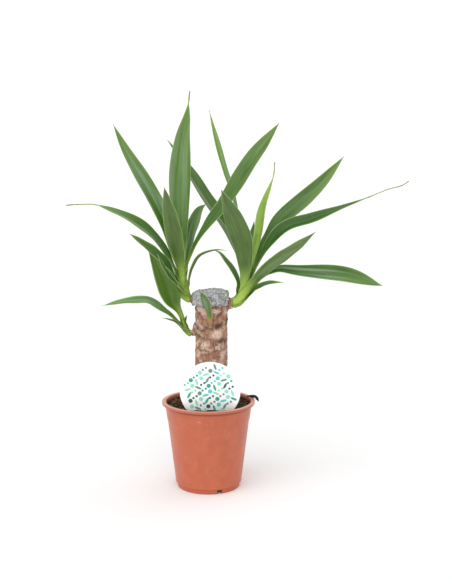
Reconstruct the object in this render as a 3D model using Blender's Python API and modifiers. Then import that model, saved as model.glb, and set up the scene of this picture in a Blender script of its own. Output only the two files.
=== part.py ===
"""Potted yucca: a cut and waxed cane with three leafy side shoots and a front sprout, in a nursery pot.

Metres, +Z up. The origin is on the floor under the middle of the pot. +X is to the right of the
front view and +Y points away from it, so the round label faces -Y.
"""
import math

import bmesh
import bpy
from mathutils import Matrix, Vector

NAME = "potted_yucca"

# Clearance left between pieces that touch
GAP = 0.0003

# Nursery pot
POT_HEIGHT = 0.1124
RIM_RADIUS = 0.0600
RIM_LIP_HEIGHT = 0.0034
RIM_WALL = 0.0014
BODY_TOP_RADIUS = 0.0564
BODY_FOOT_RADIUS = 0.0430
POT_WALL = 0.0015
POT_EDGE = 0.0004
MOULD_LINE_HEIGHT = 0.0890
MOULD_LINE_DEPTH = 0.0002
MOULD_LINE_WIDTH = 0.0010
BODY_FOOT_STEP = 0.0006
FLOOR_CORNER = (0.0020, 0.0016)
FOOT_HEIGHT = 0.0068
FOOT_RADIUS = 0.0406
FLOOR_UNDERSIDE = 0.0052
FLOOR_THICKNESS = 0.0016
PAD_RADIUS = 0.0120
NOTCH_WIDTH = 0.0070
NOTCH_HEIGHT = 0.0049
NOTCH_DEPTH = 0.0080
NOTCH_ANGLES = (-69, 51, 171)
DRAIN_COUNT = 6
DRAIN_RADIUS = 0.0040
DRAIN_CIRCLE = 0.0270
DRAIN_TURN = 17.0
DRAIN_STEPS = 16
CUT_REACH = 0.0020
POT_STEPS = 64

# Soil
SOIL_EDGE_HEIGHT = 0.1083
SOIL_MIDDLE_HEIGHT = 0.1098
SOIL_MIDDLE_RADIUS = 0.0300
SOIL_SHOULDER_RADIUS = 0.0440
SOIL_SHOULDER_RISE = 0.0008
SOIL_CLEARANCE = 0.0005
SOIL_FOOT_ROUNDING = 0.0030
SOIL_STEPS = 48

# Cane: centre, buried depth and the slightly uneven radius up its length
CANE_X = 0.0040
CANE_BOTTOM = 0.0520
CANE_TOP = 0.2515
CANE_RADIUS = 0.0206
CANE_EDGE = 0.0008
CANE_HOLE_TOP = 0.1300
CANE_STEPS = 32
CANE_SWELL = (
    (0.1150, 0.0000),
    (0.1450, 0.0004),
    (0.1700, -0.0002),
    (0.1850, 0.0006),
    (0.2000, 0.0012),
    (0.2120, 0.0002),
    (0.2280, 0.0006),
    (0.2400, 0.0000),
)

# Stubs of the cane that carry the shoots: start, end, start radius, end radius
STUBS = (
    ((0.0180, 0.0, 0.2385), (0.0305, 0.0, 0.2400), 0.0104, 0.0066),
    ((-0.0100, 0.0, 0.2425), (-0.0228, 0.0, 0.2450), 0.0052, 0.0048),
    ((-0.0100, 0.0, 0.2030), (-0.0210, 0.0, 0.2004), 0.0135, 0.0038),
)
STUB_STEPS = 16

# Wax cap on the cut end
CAP_X = 0.0028
CAP_RADIUS = 0.0236
CAP_BOTTOM = 0.2385
CAP_TOP = 0.2565
CAP_ROUNDING = 0.0032
CAP_LEFT_DROP = 0.0030
CAP_HEM = (0.0005, 0.0010)
CAP_BEDDING = 0.0002
CAP_NOTCH_REACH = 0.5
CAP_STEPS = 32

# Round label on a stake
LABEL_RADIUS = 0.0379
LABEL_THICKNESS = 0.0010
LABEL_CENTRE = (0.0027, -0.0380, 0.1337)
LABEL_LEAN = 3.0
STAKE_WIDTH = 0.0120
STAKE_LENGTH = 0.0360
STAKE_OVERLAP = 0.0040
STAKE_TIP_SHARE = 0.35
LABEL_STEPS = 64
LABEL_SLOT_WIDTH = 0.0610

# Bark chip lying over the rim
CHIP_LENGTH = 0.0160
CHIP_WIDTH = 0.0042
CHIP_THICKNESS = 0.0022
CHIP_CENTRE = (0.0572, 0.0120, 0.1141)
CHIP_TURN = -22.0
CHIP_DROOP = 0.0072
CHIP_DROOP_START = 0.0025
CHIP_DROOP_END = 0.0105
CHIP_PINCH = 0.55
CHIP_BOW = 0.0008
CHIP_EDGE = 0.0002
CHIP_CUTS = 7

# Shoots: axis points and the radius at each
SHOOTS = {
    "right": (
        ((0.0309, 0.0, 0.2401), 0.0064),
        ((0.0332, 0.0, 0.2404), 0.0064),
        ((0.0378, 0.0, 0.2425), 0.0062),
        ((0.0430, 0.0, 0.2490), 0.0055),
        ((0.0472, 0.0, 0.2595), 0.0043),
        ((0.0497, 0.0, 0.2705), 0.0030),
        ((0.0512, 0.0, 0.2810), 0.0016),
    ),
    "left": (
        ((-0.0232, 0.0, 0.2451), 0.0044),
        ((-0.0248, 0.0, 0.2454), 0.0048),
        ((-0.0282, 0.0, 0.2490), 0.0056),
        ((-0.0306, 0.0, 0.2560), 0.0054),
        ((-0.0322, 0.0, 0.2660), 0.0042),
        ((-0.0330, 0.0, 0.2765), 0.0029),
        ((-0.0335, 0.0, 0.2860), 0.0016),
    ),
    "low_left": (
        ((-0.0226, 0.0, 0.2001), 0.0034),
        ((-0.0240, 0.0, 0.2004), 0.0034),
        ((-0.0268, 0.0, 0.2040), 0.0032),
        ((-0.0302, 0.0, 0.2105), 0.0025),
        ((-0.0338, 0.0, 0.2190), 0.0013),
    ),
    "front": (
        ((0.0032, -0.0241, 0.2130), 0.0024),
        ((0.0028, -0.0248, 0.2175), 0.0021),
        ((0.0020, -0.0264, 0.2225), 0.0013),
    ),
}
SHOOT_BEVEL_RESOLUTION = 3

# Leaf blades
LEAF_THICKNESS = 0.0012
LEAF_TIP_WIDTH = 0.0011
LEAF_NECK_WIDTH = 0.0046
LEAF_NECK_SHARE = 0.45
LEAF_BASE_FOLD = 8.0
LEAF_SEGMENTS = 14
SHORT_LEAF_SEGMENTS = 9

# Each leaf: shoot, height up the shoot (0 to 1), direction it leaves in (degrees from +X towards
# +Y), widest width, where along it that is, share of it that is a dry thread, roll in the middle
# and at the tip, fold along the midrib, and the points its midrib passes through
LEAVES = (
    ("left", 0.96, 90, 0.0280, 0.52, 0.06, 5, 0, 10,
     ((-0.0330, 0.0085, 0.2960), (-0.0355, 0.0140, 0.3380), (-0.0365, 0.0220, 0.3945),
      (-0.0330, 0.0280, 0.4450), (-0.0270, 0.0330, 0.4765), (-0.0235, 0.0380, 0.5070))),
    ("left", 0.78, 130, 0.0198, 0.50, 0.0, -21, -25, 16,
     ((-0.0450, 0.0110, 0.3065), (-0.0580, 0.0180, 0.3465), (-0.0735, 0.0270, 0.3775),
      (-0.1065, 0.0420, 0.4325), (-0.1235, 0.0500, 0.4660))),
    ("left", 0.72, -100, 0.0205, 0.50, 0.0, 10, 10, 12,
     ((-0.0350, -0.0100, 0.2930), (-0.0405, -0.0220, 0.3220), (-0.0460, -0.0350, 0.3535),
      (-0.0515, -0.0520, 0.3880))),
    ("left", 0.55, 160, 0.0180, 0.45, 0.20, -14, -20, 12,
     ((-0.0495, 0.0030, 0.2975), (-0.0700, 0.0020, 0.3265), (-0.0975, 0.0000, 0.3475),
      (-0.1350, -0.0030, 0.3630), (-0.1550, -0.0040, 0.3652), (-0.1775, -0.0060, 0.3640))),
    ("left", 0.38, 195, 0.0148, 0.50, 0.0, -40, -46, 14,
     ((-0.0475, -0.0130, 0.2860), (-0.0645, -0.0220, 0.3055), (-0.0830, -0.0310, 0.3215),
      (-0.0960, -0.0360, 0.3310))),
    ("left", 0.62, 60, 0.0180, 0.78, 0.0, 0, 0, 10,
     ((-0.0275, 0.0160, 0.2990), (-0.0240, 0.0250, 0.3200), (-0.0190, 0.0330, 0.3395),
      (-0.0127, 0.0415, 0.3550), (-0.0040, 0.0475, 0.3630))),
    ("left", 0.80, 25, 0.0222, 0.68, 0.0, 30, 32, 10,
     ((-0.0185, -0.0030, 0.3110), (0.0010, -0.0060, 0.3425), (0.0212, -0.0070, 0.3690),
      (0.0510, -0.0060, 0.4165), (0.0695, -0.0040, 0.4410), (0.0890, 0.0000, 0.4660))),
    ("left", 0.36, -45, 0.0062, 0.50, 0.0, -5, -10, 14,
     ((-0.0235, -0.0070, 0.2740), (-0.0195, -0.0095, 0.2870), (-0.0100, -0.0140, 0.3020),
      (0.0090, -0.0220, 0.3095), (0.0250, -0.0270, 0.3090))),
    ("left", 0.16, 215, 0.0120, 0.55, 0.0, -55, -60, 18,
     ((-0.0385, -0.0180, 0.2640), (-0.0470, -0.0230, 0.2750), (-0.0540, -0.0280, 0.2865),
      (-0.0620, -0.0350, 0.3065))),
    ("low_left", 0.85, 125, 0.0262, 0.55, 0.0, -25, -25, 12,
     ((-0.0362, 0.0030, 0.2235), (-0.0458, 0.0050, 0.2425), (-0.0546, 0.0080, 0.2680),
      (-0.0645, 0.0100, 0.2895), (-0.0768, 0.0100, 0.3100))),
    ("low_left", 0.45, 175, 0.0128, 0.40, 0.0, -22, -30, 16,
     ((-0.0460, -0.0050, 0.2230), (-0.0570, -0.0080, 0.2320), (-0.0730, -0.0120, 0.2436),
      (-0.0855, -0.0140, 0.2457), (-0.1080, -0.0170, 0.2442), (-0.1330, -0.0200, 0.2390))),
    ("low_left", 0.22, 225, 0.0060, 0.45, 0.0, -55, -55, 20,
     ((-0.0400, -0.0130, 0.2165), (-0.0490, -0.0170, 0.2210), (-0.0580, -0.0200, 0.2240))),
    ("low_left", 0.60, 40, 0.0035, 0.40, 0.0, 0, 0, 20,
     ((-0.0295, 0.0030, 0.2160), (-0.0270, 0.0040, 0.2240))),
    ("right", 0.50, -110, 0.0270, 0.55, 0.0, 15, 15, 10,
     ((0.0460, -0.0140, 0.2880), (0.0435, -0.0240, 0.3160), (0.0350, -0.0380, 0.3415),
      (0.0260, -0.0500, 0.3640), (0.0170, -0.0600, 0.3850))),
    ("right", 0.80, 150, 0.0108, 0.60, 0.0, -8, -45, 14,
     ((0.0455, 0.0110, 0.2950), (0.0415, 0.0200, 0.3250), (0.0320, 0.0310, 0.3740),
      (0.0212, 0.0370, 0.4070), (0.0072, 0.0460, 0.4580), (0.0010, 0.0500, 0.4835))),
    ("right", 0.60, 160, 0.0185, 0.50, 0.0, -26, -26, 14,
     ((0.0405, 0.0180, 0.2900), (0.0305, 0.0340, 0.3175), (0.0175, 0.0490, 0.3405),
      (-0.0055, 0.0680, 0.3720), (-0.0330, 0.0860, 0.4145), (-0.0565, 0.1000, 0.4465))),
    ("right", 1.00, 60, 0.0115, 0.42, 0.12, 10, 10, 26,
     ((0.0570, 0.0030, 0.2970), (0.0635, 0.0030, 0.3285), (0.0685, 0.0040, 0.3600),
      (0.0815, 0.0050, 0.3975), (0.0840, 0.0050, 0.4175))),
    ("right", 0.94, 110, 0.0110, 0.50, 0.0, 0, 0, 20,
     ((0.0540, 0.0160, 0.3030), (0.0560, 0.0260, 0.3215), (0.0590, 0.0330, 0.3420))),
    ("right", 0.72, 50, 0.0208, 0.58, 0.0, 35, 35, 10,
     ((0.0660, 0.0110, 0.3035), (0.0790, 0.0180, 0.3235), (0.0930, 0.0250, 0.3450),
      (0.1235, 0.0350, 0.3705), (0.1485, 0.0430, 0.3935), (0.1760, 0.0520, 0.4245))),
    ("right", 0.58, 0, 0.0200, 0.32, 0.22, 42, 20, 18,
     ((0.0615, -0.0070, 0.2885), (0.0800, -0.0120, 0.3205), (0.0990, -0.0120, 0.3385),
      (0.1290, -0.0080, 0.3475), (0.1535, -0.0030, 0.3560), (0.1915, 0.0040, 0.3695),
      (0.2245, 0.0080, 0.3825), (0.2435, 0.0100, 0.3875), (0.2535, 0.0110, 0.3935))),
    ("right", 0.36, -70, 0.0165, 0.52, 0.0, -2, 0, 12,
     ((0.0575, -0.0120, 0.2690), (0.0760, -0.0220, 0.2890), (0.0885, -0.0280, 0.2990),
      (0.1115, -0.0400, 0.3175), (0.1310, -0.0510, 0.3345))),
    ("right", 0.46, 60, 0.0205, 0.70, 0.0, 24, 24, 10,
     ((0.0700, 0.0120, 0.2735), (0.0815, 0.0150, 0.2790), (0.0935, 0.0180, 0.2815),
      (0.1180, 0.0210, 0.2787), (0.1770, 0.0270, 0.2730), (0.2265, 0.0300, 0.2575))),
    ("right", 0.20, 0, 0.0085, 0.45, 0.0, 30, 35, 16,
     ((0.0555, -0.0070, 0.2545), (0.0610, -0.0090, 0.2605), (0.0765, -0.0140, 0.2675),
      (0.0950, -0.0180, 0.2685))),
    ("right", 0.30, 135, 0.0073, 0.45, 0.0, -20, -20, 16,
     ((0.0380, 0.0070, 0.2670), (0.0310, 0.0110, 0.2820), (0.0225, 0.0140, 0.2930),
      (0.0150, 0.0160, 0.3020), (0.0060, 0.0180, 0.3060))),
    ("front", 0.70, -110, 0.0102, 0.62, 0.0, 0, 0, 28,
     ((0.0012, -0.0285, 0.2290), (-0.0008, -0.0300, 0.2370), (-0.0035, -0.0330, 0.2470),
      (-0.0090, -0.0360, 0.2595))),
    ("front", 0.70, 40, 0.0040, 0.45, 0.0, 0, 0, 25,
     ((0.0035, -0.0265, 0.2320), (0.0040, -0.0290, 0.2410))),
)

# Colours, linear red, green and blue
TERRACOTTA = (0.58, 0.16, 0.085)
PEAT = (0.020, 0.013, 0.009)
BARK = (0.20, 0.10, 0.055)
WAX = (0.42, 0.43, 0.44)
LABEL_WHITE = (0.85, 0.87, 0.87)
CHIP_BROWN = (0.020, 0.010, 0.007)
SHEATH_GREEN = (0.32, 0.45, 0.08)
LEAF_GREEN = (0.085, 0.24, 0.035)


def clear_scene():
    """Remove whatever the file opened with."""
    for item in list(bpy.data.objects):
        bpy.data.objects.remove(item, do_unlink=True)


def new_collection(name):
    """A collection linked to the scene."""
    collection = bpy.data.collections.new(name)
    bpy.context.scene.collection.children.link(collection)
    return collection


def finish_of(name, colour, roughness):
    """A plain surface of one colour."""
    material = bpy.data.materials.new(name + "_finish")
    material.use_nodes = True
    shader = material.node_tree.nodes["Principled BSDF"]
    shader.inputs["Base Color"].default_value = (*colour, 1.0)
    shader.inputs["Roughness"].default_value = roughness
    shader.inputs["Metallic"].default_value = 0.0
    return material


def mesh_object(name, bm, collection, colour=None, roughness=0.6):
    """Turn a bmesh into an object in the collection."""
    mesh = bpy.data.meshes.new(name)
    bm.to_mesh(mesh)
    bm.free()
    piece = bpy.data.objects.new(name, mesh)
    collection.objects.link(piece)
    if colour is not None:
        mesh.materials.append(finish_of(name, colour, roughness))
    return piece


def smooth(piece, angle=40.0):
    """Shade a round piece smooth, with its real edges left sharp."""
    piece.data.shade_smooth()
    piece.data.set_sharp_from_angle(angle=math.radians(angle))


def outline(points):
    """A chain of edges through (radius, height) points, for a turned shape."""
    bm = bmesh.new()
    chain = [bm.verts.new((radius, 0.0, height)) for radius, height in points]
    for start, end in zip(chain, chain[1:]):
        bm.edges.new((start, end))
    return bm


def turned(name, points, steps, collection, colour, roughness):
    """A shape turned about the vertical axis from its profile, which runs down the outer side."""
    piece = mesh_object(name, outline(points), collection, colour, roughness)
    screw = piece.modifiers.new("Turn", "SCREW")
    screw.steps = steps
    screw.render_steps = steps
    screw.use_merge_vertices = True
    screw.merge_threshold = 0.00005
    screw.use_smooth_shade = True
    return piece


def fixed_shape(piece):
    """Apply the modifiers, so that the mesh itself can be shaped further."""
    depsgraph = bpy.context.evaluated_depsgraph_get()
    mesh = bpy.data.meshes.new_from_object(piece.evaluated_get(depsgraph))
    old = piece.data
    piece.modifiers.clear()
    piece.data = mesh
    bpy.data.meshes.remove(old)
    return piece


def cone_along(start, end, start_radius, end_radius, segments):
    """A bmesh cone between two points."""
    start = Vector(start)
    end = Vector(end)
    axis = end - start
    turn = axis.to_track_quat("Z", "Y").to_matrix().to_4x4()
    place = Matrix.Translation((start + end) / 2) @ turn
    bm = bmesh.new()
    bmesh.ops.create_cone(
        bm, cap_ends=True, segments=segments, radius1=start_radius, radius2=end_radius,
        depth=axis.length, matrix=place,
    )
    return bm


def box(centre, size):
    """A bmesh box."""
    bm = bmesh.new()
    place = Matrix.Translation(centre) @ Matrix.Diagonal((*size, 1.0))
    bmesh.ops.create_cube(bm, size=1.0, matrix=place)
    return bm


def cutter(name, bm, cutters):
    """A helper shape that only cuts or joins."""
    piece = mesh_object(name, bm, cutters)
    piece.hide_render = True
    piece.display_type = "WIRE"
    return piece


def combine(piece, helper, operation):
    """Cut the helper out of the piece, or join it on."""
    boolean = piece.modifiers.new(helper.name, "BOOLEAN")
    boolean.operation = operation
    boolean.solver = "EXACT"
    boolean.object = helper


def body_radius(height):
    """Outer radius of the pot's tapered wall at a height."""
    share = (height - FOOT_HEIGHT) / (POT_HEIGHT - FOOT_HEIGHT)
    return BODY_FOOT_RADIUS + share * (BODY_TOP_RADIUS - BODY_FOOT_RADIUS)


def make_pot(parts, cutters):
    """Thin moulded pot: turned-down rim, tapered wall, foot ring with notches, drained floor."""
    floor_top = FLOOR_UNDERSIDE + FLOOR_THICKNESS
    lip_bottom = POT_HEIGHT - RIM_LIP_HEIGHT
    ledge = POT_HEIGHT - RIM_WALL
    corner_in, corner_up = FLOOR_CORNER
    inner_top = BODY_TOP_RADIUS - POT_WALL
    mould_foot = MOULD_LINE_HEIGHT - MOULD_LINE_WIDTH
    profile = (
        (0.0, floor_top),
        (body_radius(FOOT_HEIGHT) - POT_WALL - corner_in, floor_top),
        (body_radius(floor_top + corner_up) - POT_WALL, floor_top + corner_up),
        (inner_top - POT_EDGE, POT_HEIGHT - 2 * POT_EDGE),
        (inner_top + POT_EDGE, POT_HEIGHT),
        (RIM_RADIUS - POT_EDGE, POT_HEIGHT),
        (RIM_RADIUS, POT_HEIGHT - POT_EDGE),
        (RIM_RADIUS - POT_EDGE / 2, lip_bottom),
        (RIM_RADIUS - RIM_WALL, lip_bottom),
        (RIM_RADIUS - RIM_WALL, ledge),
        (body_radius(ledge), ledge),
        (body_radius(MOULD_LINE_HEIGHT), MOULD_LINE_HEIGHT),
        (body_radius(mould_foot) - MOULD_LINE_DEPTH, mould_foot),
        (BODY_FOOT_RADIUS, FOOT_HEIGHT + BODY_FOOT_STEP),
        (BODY_FOOT_RADIUS - BODY_FOOT_STEP, FOOT_HEIGHT),
        (FOOT_RADIUS, FOOT_HEIGHT),
        (FOOT_RADIUS - POT_EDGE, 0.0),
        (FOOT_RADIUS - POT_WALL, 0.0),
        (FOOT_RADIUS - POT_WALL, FLOOR_UNDERSIDE),
        (PAD_RADIUS + 0.0015, FLOOR_UNDERSIDE),
        (PAD_RADIUS, 0.0),
        (0.0, 0.0),
    )
    pot = turned("pot", profile, POT_STEPS, parts, TERRACOTTA, 0.45)
    for number, angle in enumerate(NOTCH_ANGLES, start=1):
        turn = Matrix.Rotation(math.radians(angle), 4, "Z")
        size = (NOTCH_DEPTH, NOTCH_WIDTH, 2 * NOTCH_HEIGHT)
        notch = box((0, 0, 0), (1, 1, 1))
        place = turn @ Matrix.Translation((FOOT_RADIUS, 0, 0)) @ Matrix.Diagonal((*size, 1.0))
        bmesh.ops.transform(notch, matrix=place, verts=notch.verts)
        combine(pot, cutter("notch_%d" % number, notch, cutters), "DIFFERENCE")
    for number in range(DRAIN_COUNT):
        angle = math.radians(DRAIN_TURN) + 2 * math.pi * number / DRAIN_COUNT
        x = DRAIN_CIRCLE * math.cos(angle)
        y = DRAIN_CIRCLE * math.sin(angle)
        low = FLOOR_UNDERSIDE - CUT_REACH
        high = floor_top + CUT_REACH
        drain = cone_along((x, y, low), (x, y, high), DRAIN_RADIUS, DRAIN_RADIUS, DRAIN_STEPS)
        combine(pot, cutter("drain_%d" % (number + 1), drain, cutters), "DIFFERENCE")
    return pot


def make_soil(parts, cutters):
    """Plug of potting soil with the cane's hole and the label's slot in it."""
    bottom = FLOOR_UNDERSIDE + FLOOR_THICKNESS + GAP
    clearance = POT_WALL + SOIL_CLEARANCE
    rounding = SOIL_FOOT_ROUNDING
    profile = (
        (0.0, SOIL_MIDDLE_HEIGHT),
        (SOIL_MIDDLE_RADIUS, SOIL_MIDDLE_HEIGHT),
        (SOIL_SHOULDER_RADIUS, SOIL_EDGE_HEIGHT + SOIL_SHOULDER_RISE),
        (body_radius(SOIL_EDGE_HEIGHT) - clearance, SOIL_EDGE_HEIGHT),
        (body_radius(bottom + rounding) - clearance, bottom + rounding),
        (body_radius(bottom) - clearance - rounding, bottom),
        (0.0, bottom),
    )
    soil = turned("potting_soil", profile, SOIL_STEPS, parts, PEAT, 0.95)
    radius = CANE_RADIUS + GAP
    low = (CANE_X, 0, CANE_BOTTOM - GAP)
    high = (CANE_X, 0, CANE_HOLE_TOP)
    combine(soil, cutter("cane_hole", cone_along(low, high, radius, radius, CANE_STEPS), cutters),
            "DIFFERENCE")
    for number, (width, depth) in enumerate(
            ((LABEL_SLOT_WIDTH, LABEL_RADIUS), (STAKE_WIDTH, LABEL_RADIUS + STAKE_LENGTH)), start=1):
        size = (width + 2 * GAP, LABEL_THICKNESS + 2 * GAP, depth + GAP)
        slot = box((0, 0, -size[2] / 2), size)
        bmesh.ops.transform(slot, matrix=label_place(), verts=slot.verts)
        combine(soil, cutter("label_slot_%d" % number, slot, cutters), "DIFFERENCE")
    return soil


def make_cane(parts, cutters):
    """Cut length of stem with its three side stubs."""
    profile = [(0.0, CANE_TOP), (CANE_RADIUS - CANE_EDGE, CANE_TOP),
               (CANE_RADIUS, CANE_TOP - CANE_EDGE)]
    for height, swell in reversed(CANE_SWELL):
        profile.append((CANE_RADIUS + swell, height))
    profile.append((CANE_RADIUS, CANE_BOTTOM))
    profile.append((0.0, CANE_BOTTOM))
    cane = fixed_shape(turned("cane", profile, CANE_STEPS, parts, BARK, 0.85))
    cane.data.transform(Matrix.Translation((CANE_X, 0, 0)))
    for number, (start, end, wide, narrow) in enumerate(STUBS, start=1):
        stub = cone_along(start, end, wide, narrow, STUB_STEPS)
        combine(cane, cutter("stub_%d" % number, stub, cutters), "UNION")
    return cane


def make_wax_cap(parts, cutters):
    """Cap of sealing wax over the cut end, lower on its left, notched round the upper stubs."""
    inner = CANE_RADIUS + CAP_BEDDING + GAP
    hem_in, hem_up = CAP_HEM
    profile = (
        (0.0, CAP_TOP),
        (CAP_RADIUS - CAP_ROUNDING, CAP_TOP),
        (CAP_RADIUS - 0.3 * CAP_ROUNDING, CAP_TOP - 0.3 * CAP_ROUNDING),
        (CAP_RADIUS, CAP_TOP - CAP_ROUNDING),
        (CAP_RADIUS, CAP_BOTTOM + hem_up),
        (CAP_RADIUS - hem_in, CAP_BOTTOM),
        (inner, CAP_BOTTOM),
        (inner, CANE_TOP + GAP),
        (0.0, CANE_TOP + GAP),
    )
    cap = fixed_shape(turned("wax_cap", profile, CAP_STEPS, parts, WAX, 0.7))
    for vertex in cap.data.vertices:
        if vertex.co.z > CAP_TOP - 2 * CAP_ROUNDING and vertex.co.z > CANE_TOP + 2 * GAP:
            leftness = max(0.0, -vertex.co.x / CAP_RADIUS)
            vertex.co.z -= CAP_LEFT_DROP * leftness
        outward = Vector((vertex.co.x, vertex.co.y, 0.0))
        if outward.length < inner + 0.0001:
            vertex.co.x += CANE_X
        else:
            vertex.co.x += CAP_X
    for number, (start, end, wide, _) in enumerate(STUBS[:2], start=1):
        start = Vector(start)
        end = Vector(end)
        reach = end + (end - start) * CAP_NOTCH_REACH
        notch = cone_along(start, reach, wide + GAP, wide + GAP, STUB_STEPS)
        combine(cap, cutter("cap_notch_%d" % number, notch, cutters), "DIFFERENCE")
    return cap


def label_place():
    """Position and lean of the label, its face towards -Y."""
    return Matrix.Translation(LABEL_CENTRE) @ Matrix.Rotation(math.radians(LABEL_LEAN), 4, "X")


def make_label(parts, cutters):
    """Round plastic label with its stake, one moulding."""
    half = Vector((0, LABEL_THICKNESS / 2, 0))
    disc = cone_along(-half, half, LABEL_RADIUS, LABEL_RADIUS, LABEL_STEPS)
    label = mesh_object("plant_label", disc, parts, LABEL_WHITE, 0.35)
    top = -LABEL_RADIUS + STAKE_OVERLAP
    bottom = -LABEL_RADIUS - STAKE_LENGTH
    size = (STAKE_WIDTH, LABEL_THICKNESS, top - bottom)
    stake = box((0, 0, (top + bottom) / 2), size)
    for vertex in stake.verts:
        if vertex.co.z < bottom + 0.0001:
            vertex.co.x *= STAKE_TIP_SHARE
    combine(label, cutter("stake", stake, cutters), "UNION")
    fixed_shape(label)
    label.data.transform(label_place())
    return label


def make_bark_chip(parts):
    """Dark splinter of bark that lies across the rim, pinched at its ends, its outer end drooping."""
    bm = box((0, 0, 0), (CHIP_LENGTH, CHIP_WIDTH, CHIP_THICKNESS))
    lengthwise = [edge for edge in bm.edges
                  if abs(edge.verts[0].co.x - edge.verts[1].co.x) > CHIP_LENGTH / 2]
    bmesh.ops.subdivide_edges(bm, edges=lengthwise, cuts=CHIP_CUTS)
    for vertex in bm.verts:
        share = abs(vertex.co.x) / (CHIP_LENGTH / 2)
        pinch = 1.0 - CHIP_PINCH * share ** 2
        vertex.co.y *= pinch
        vertex.co.z *= pinch
        vertex.co.z -= CHIP_DROOP * ease(vertex.co.x, CHIP_DROOP_START, CHIP_DROOP_END)
        vertex.co.y += CHIP_BOW * math.sin(4 * vertex.co.x / CHIP_LENGTH)
    place = Matrix.Translation(CHIP_CENTRE) @ Matrix.Rotation(math.radians(CHIP_TURN), 4, "Z")
    bmesh.ops.transform(bm, matrix=place, verts=bm.verts)
    bmesh.ops.bevel(bm, geom=bm.edges[:], offset=CHIP_EDGE, segments=1, profile=0.5,
                    affect="EDGES", material=-1)
    return mesh_object("bark_chip", bm, parts, CHIP_BROWN, 0.9)


def make_shoot_stem(name, stations, parts):
    """Tapering stem of one shoot."""
    curve = bpy.data.curves.new(name, "CURVE")
    curve.dimensions = "3D"
    curve.bevel_depth = 1.0
    curve.bevel_resolution = SHOOT_BEVEL_RESOLUTION
    curve.use_fill_caps = True
    spline = curve.splines.new("POLY")
    spline.points.add(len(stations) - 1)
    for point, (place, radius) in zip(spline.points, stations):
        point.co = (*place, 1.0)
        point.radius = radius
    stem = bpy.data.objects.new(name, curve)
    parts.objects.link(stem)
    curve.materials.append(finish_of(name, SHEATH_GREEN, 0.5))
    return stem


def along(points, share):
    """The place, direction and segment at a share of a chain's length."""
    lengths = [(end - start).length for start, end in zip(points, points[1:])]
    target = share * sum(lengths)
    for index, length in enumerate(lengths):
        if target <= length or index == len(lengths) - 1:
            part = min(1.0, target / length)
            direction = (points[index + 1] - points[index]).normalized()
            return points[index].lerp(points[index + 1], part), direction, index, part
        target -= length


def curve_through(points, per_span=12):
    """A close chain of points on a smooth curve through the given ones."""
    ends = [2 * points[0] - points[1]] + points + [2 * points[-1] - points[-2]]
    chain = []
    for index in range(len(points) - 1):
        before, start, end, after = ends[index:index + 4]
        for step in range(per_span):
            t = step / per_span
            chain.append(0.5 * (
                2 * start + (end - before) * t
                + (2 * before - 5 * start + 4 * end - after) * t ** 2
                + (3 * start - before - 3 * end + after) * t ** 3
            ))
    chain.append(points[-1].copy())
    return chain


def leaf_width(share, widest, peak, thread):
    """Blade width at a share of the length: narrow neck, belly, then a long point or dry thread."""
    blade_end = 1.0 - thread
    if share >= blade_end:
        return LEAF_TIP_WIDTH
    neck = min(LEAF_NECK_WIDTH, LEAF_NECK_SHARE * widest)
    if share < peak:
        rise = share / peak
        stalk = 0.8 + 2.5 * max(0.0, peak - 0.55)
        return neck + (widest - neck) * (rise * rise * (3 - 2 * rise)) ** stalk
    fall = (share - peak) / (blade_end - peak)
    return max(LEAF_TIP_WIDTH, widest * (1 - fall ** 2.0))


def ease(value, start, end):
    """Smooth step from 0 to 1 between start and end."""
    share = min(1.0, max(0.0, (value - start) / (end - start)))
    return share * share * (3 - 2 * share)


def leaf_start(stations, height, heading):
    """Where a leaf leaves its shoot, and the way out from the shoot's axis there."""
    points = [Vector(place) for place, _ in stations]
    place, direction, index, part = along(points, height)
    radius = stations[index][1] * (1 - part) + stations[index + 1][1] * part
    outward = Vector((math.cos(math.radians(heading)), math.sin(math.radians(heading)), 0.0))
    outward -= outward.dot(direction) * direction
    outward.normalize()
    offset = radius + GAP + LEAF_THICKNESS / 2 + 0.0002
    return place + outward * offset, outward


def make_leaf(name, leaf, parts):
    """One blade: a grid laid along its midrib, folded, rolled and given its thickness."""
    shoot, height, heading, widest, peak, thread, roll_middle, roll_tip, fold, waypoints = leaf
    start, outward = leaf_start(SHOOTS[shoot], height, heading)
    chain = curve_through([start] + [Vector(point) for point in waypoints])
    segments = LEAF_SEGMENTS if len(waypoints) > 3 else SHORT_LEAF_SEGMENTS
    stations = [along(chain, step / segments) for step in range(segments + 1)]
    normal = -outward
    frames = []
    for place, direction, _, _ in stations:
        normal = (normal - normal.dot(direction) * direction).normalized()
        frames.append((place, direction, normal.copy()))
    bm = bmesh.new()
    bmesh.ops.create_grid(bm, x_segments=2, y_segments=segments, size=1.0)
    for vertex in bm.verts:
        across = vertex.co.x
        share = (vertex.co.y + 1) / 2
        place, direction, normal = frames[round(share * segments)]
        roll = roll_middle * ease(share, 0.05, 0.45) + (roll_tip - roll_middle) * ease(share, 0.45, 1.0)
        normal = Matrix.Rotation(math.radians(roll), 3, direction) @ normal
        side = direction.cross(normal)
        half = leaf_width(share, widest, peak, thread) / 2
        slope = math.radians(fold + (LEAF_BASE_FOLD - fold) * (1 - ease(share, 0.0, 0.3)))
        vertex.co = (place + side * across * half * math.cos(slope)
                     + normal * (abs(across) - 0.5) * half * math.sin(slope))
    blade = mesh_object(name, bm, parts, LEAF_GREEN, 0.45)
    solidify = blade.modifiers.new("Thickness", "SOLIDIFY")
    solidify.thickness = LEAF_THICKNESS
    solidify.offset = 0.0
    return blade


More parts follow.
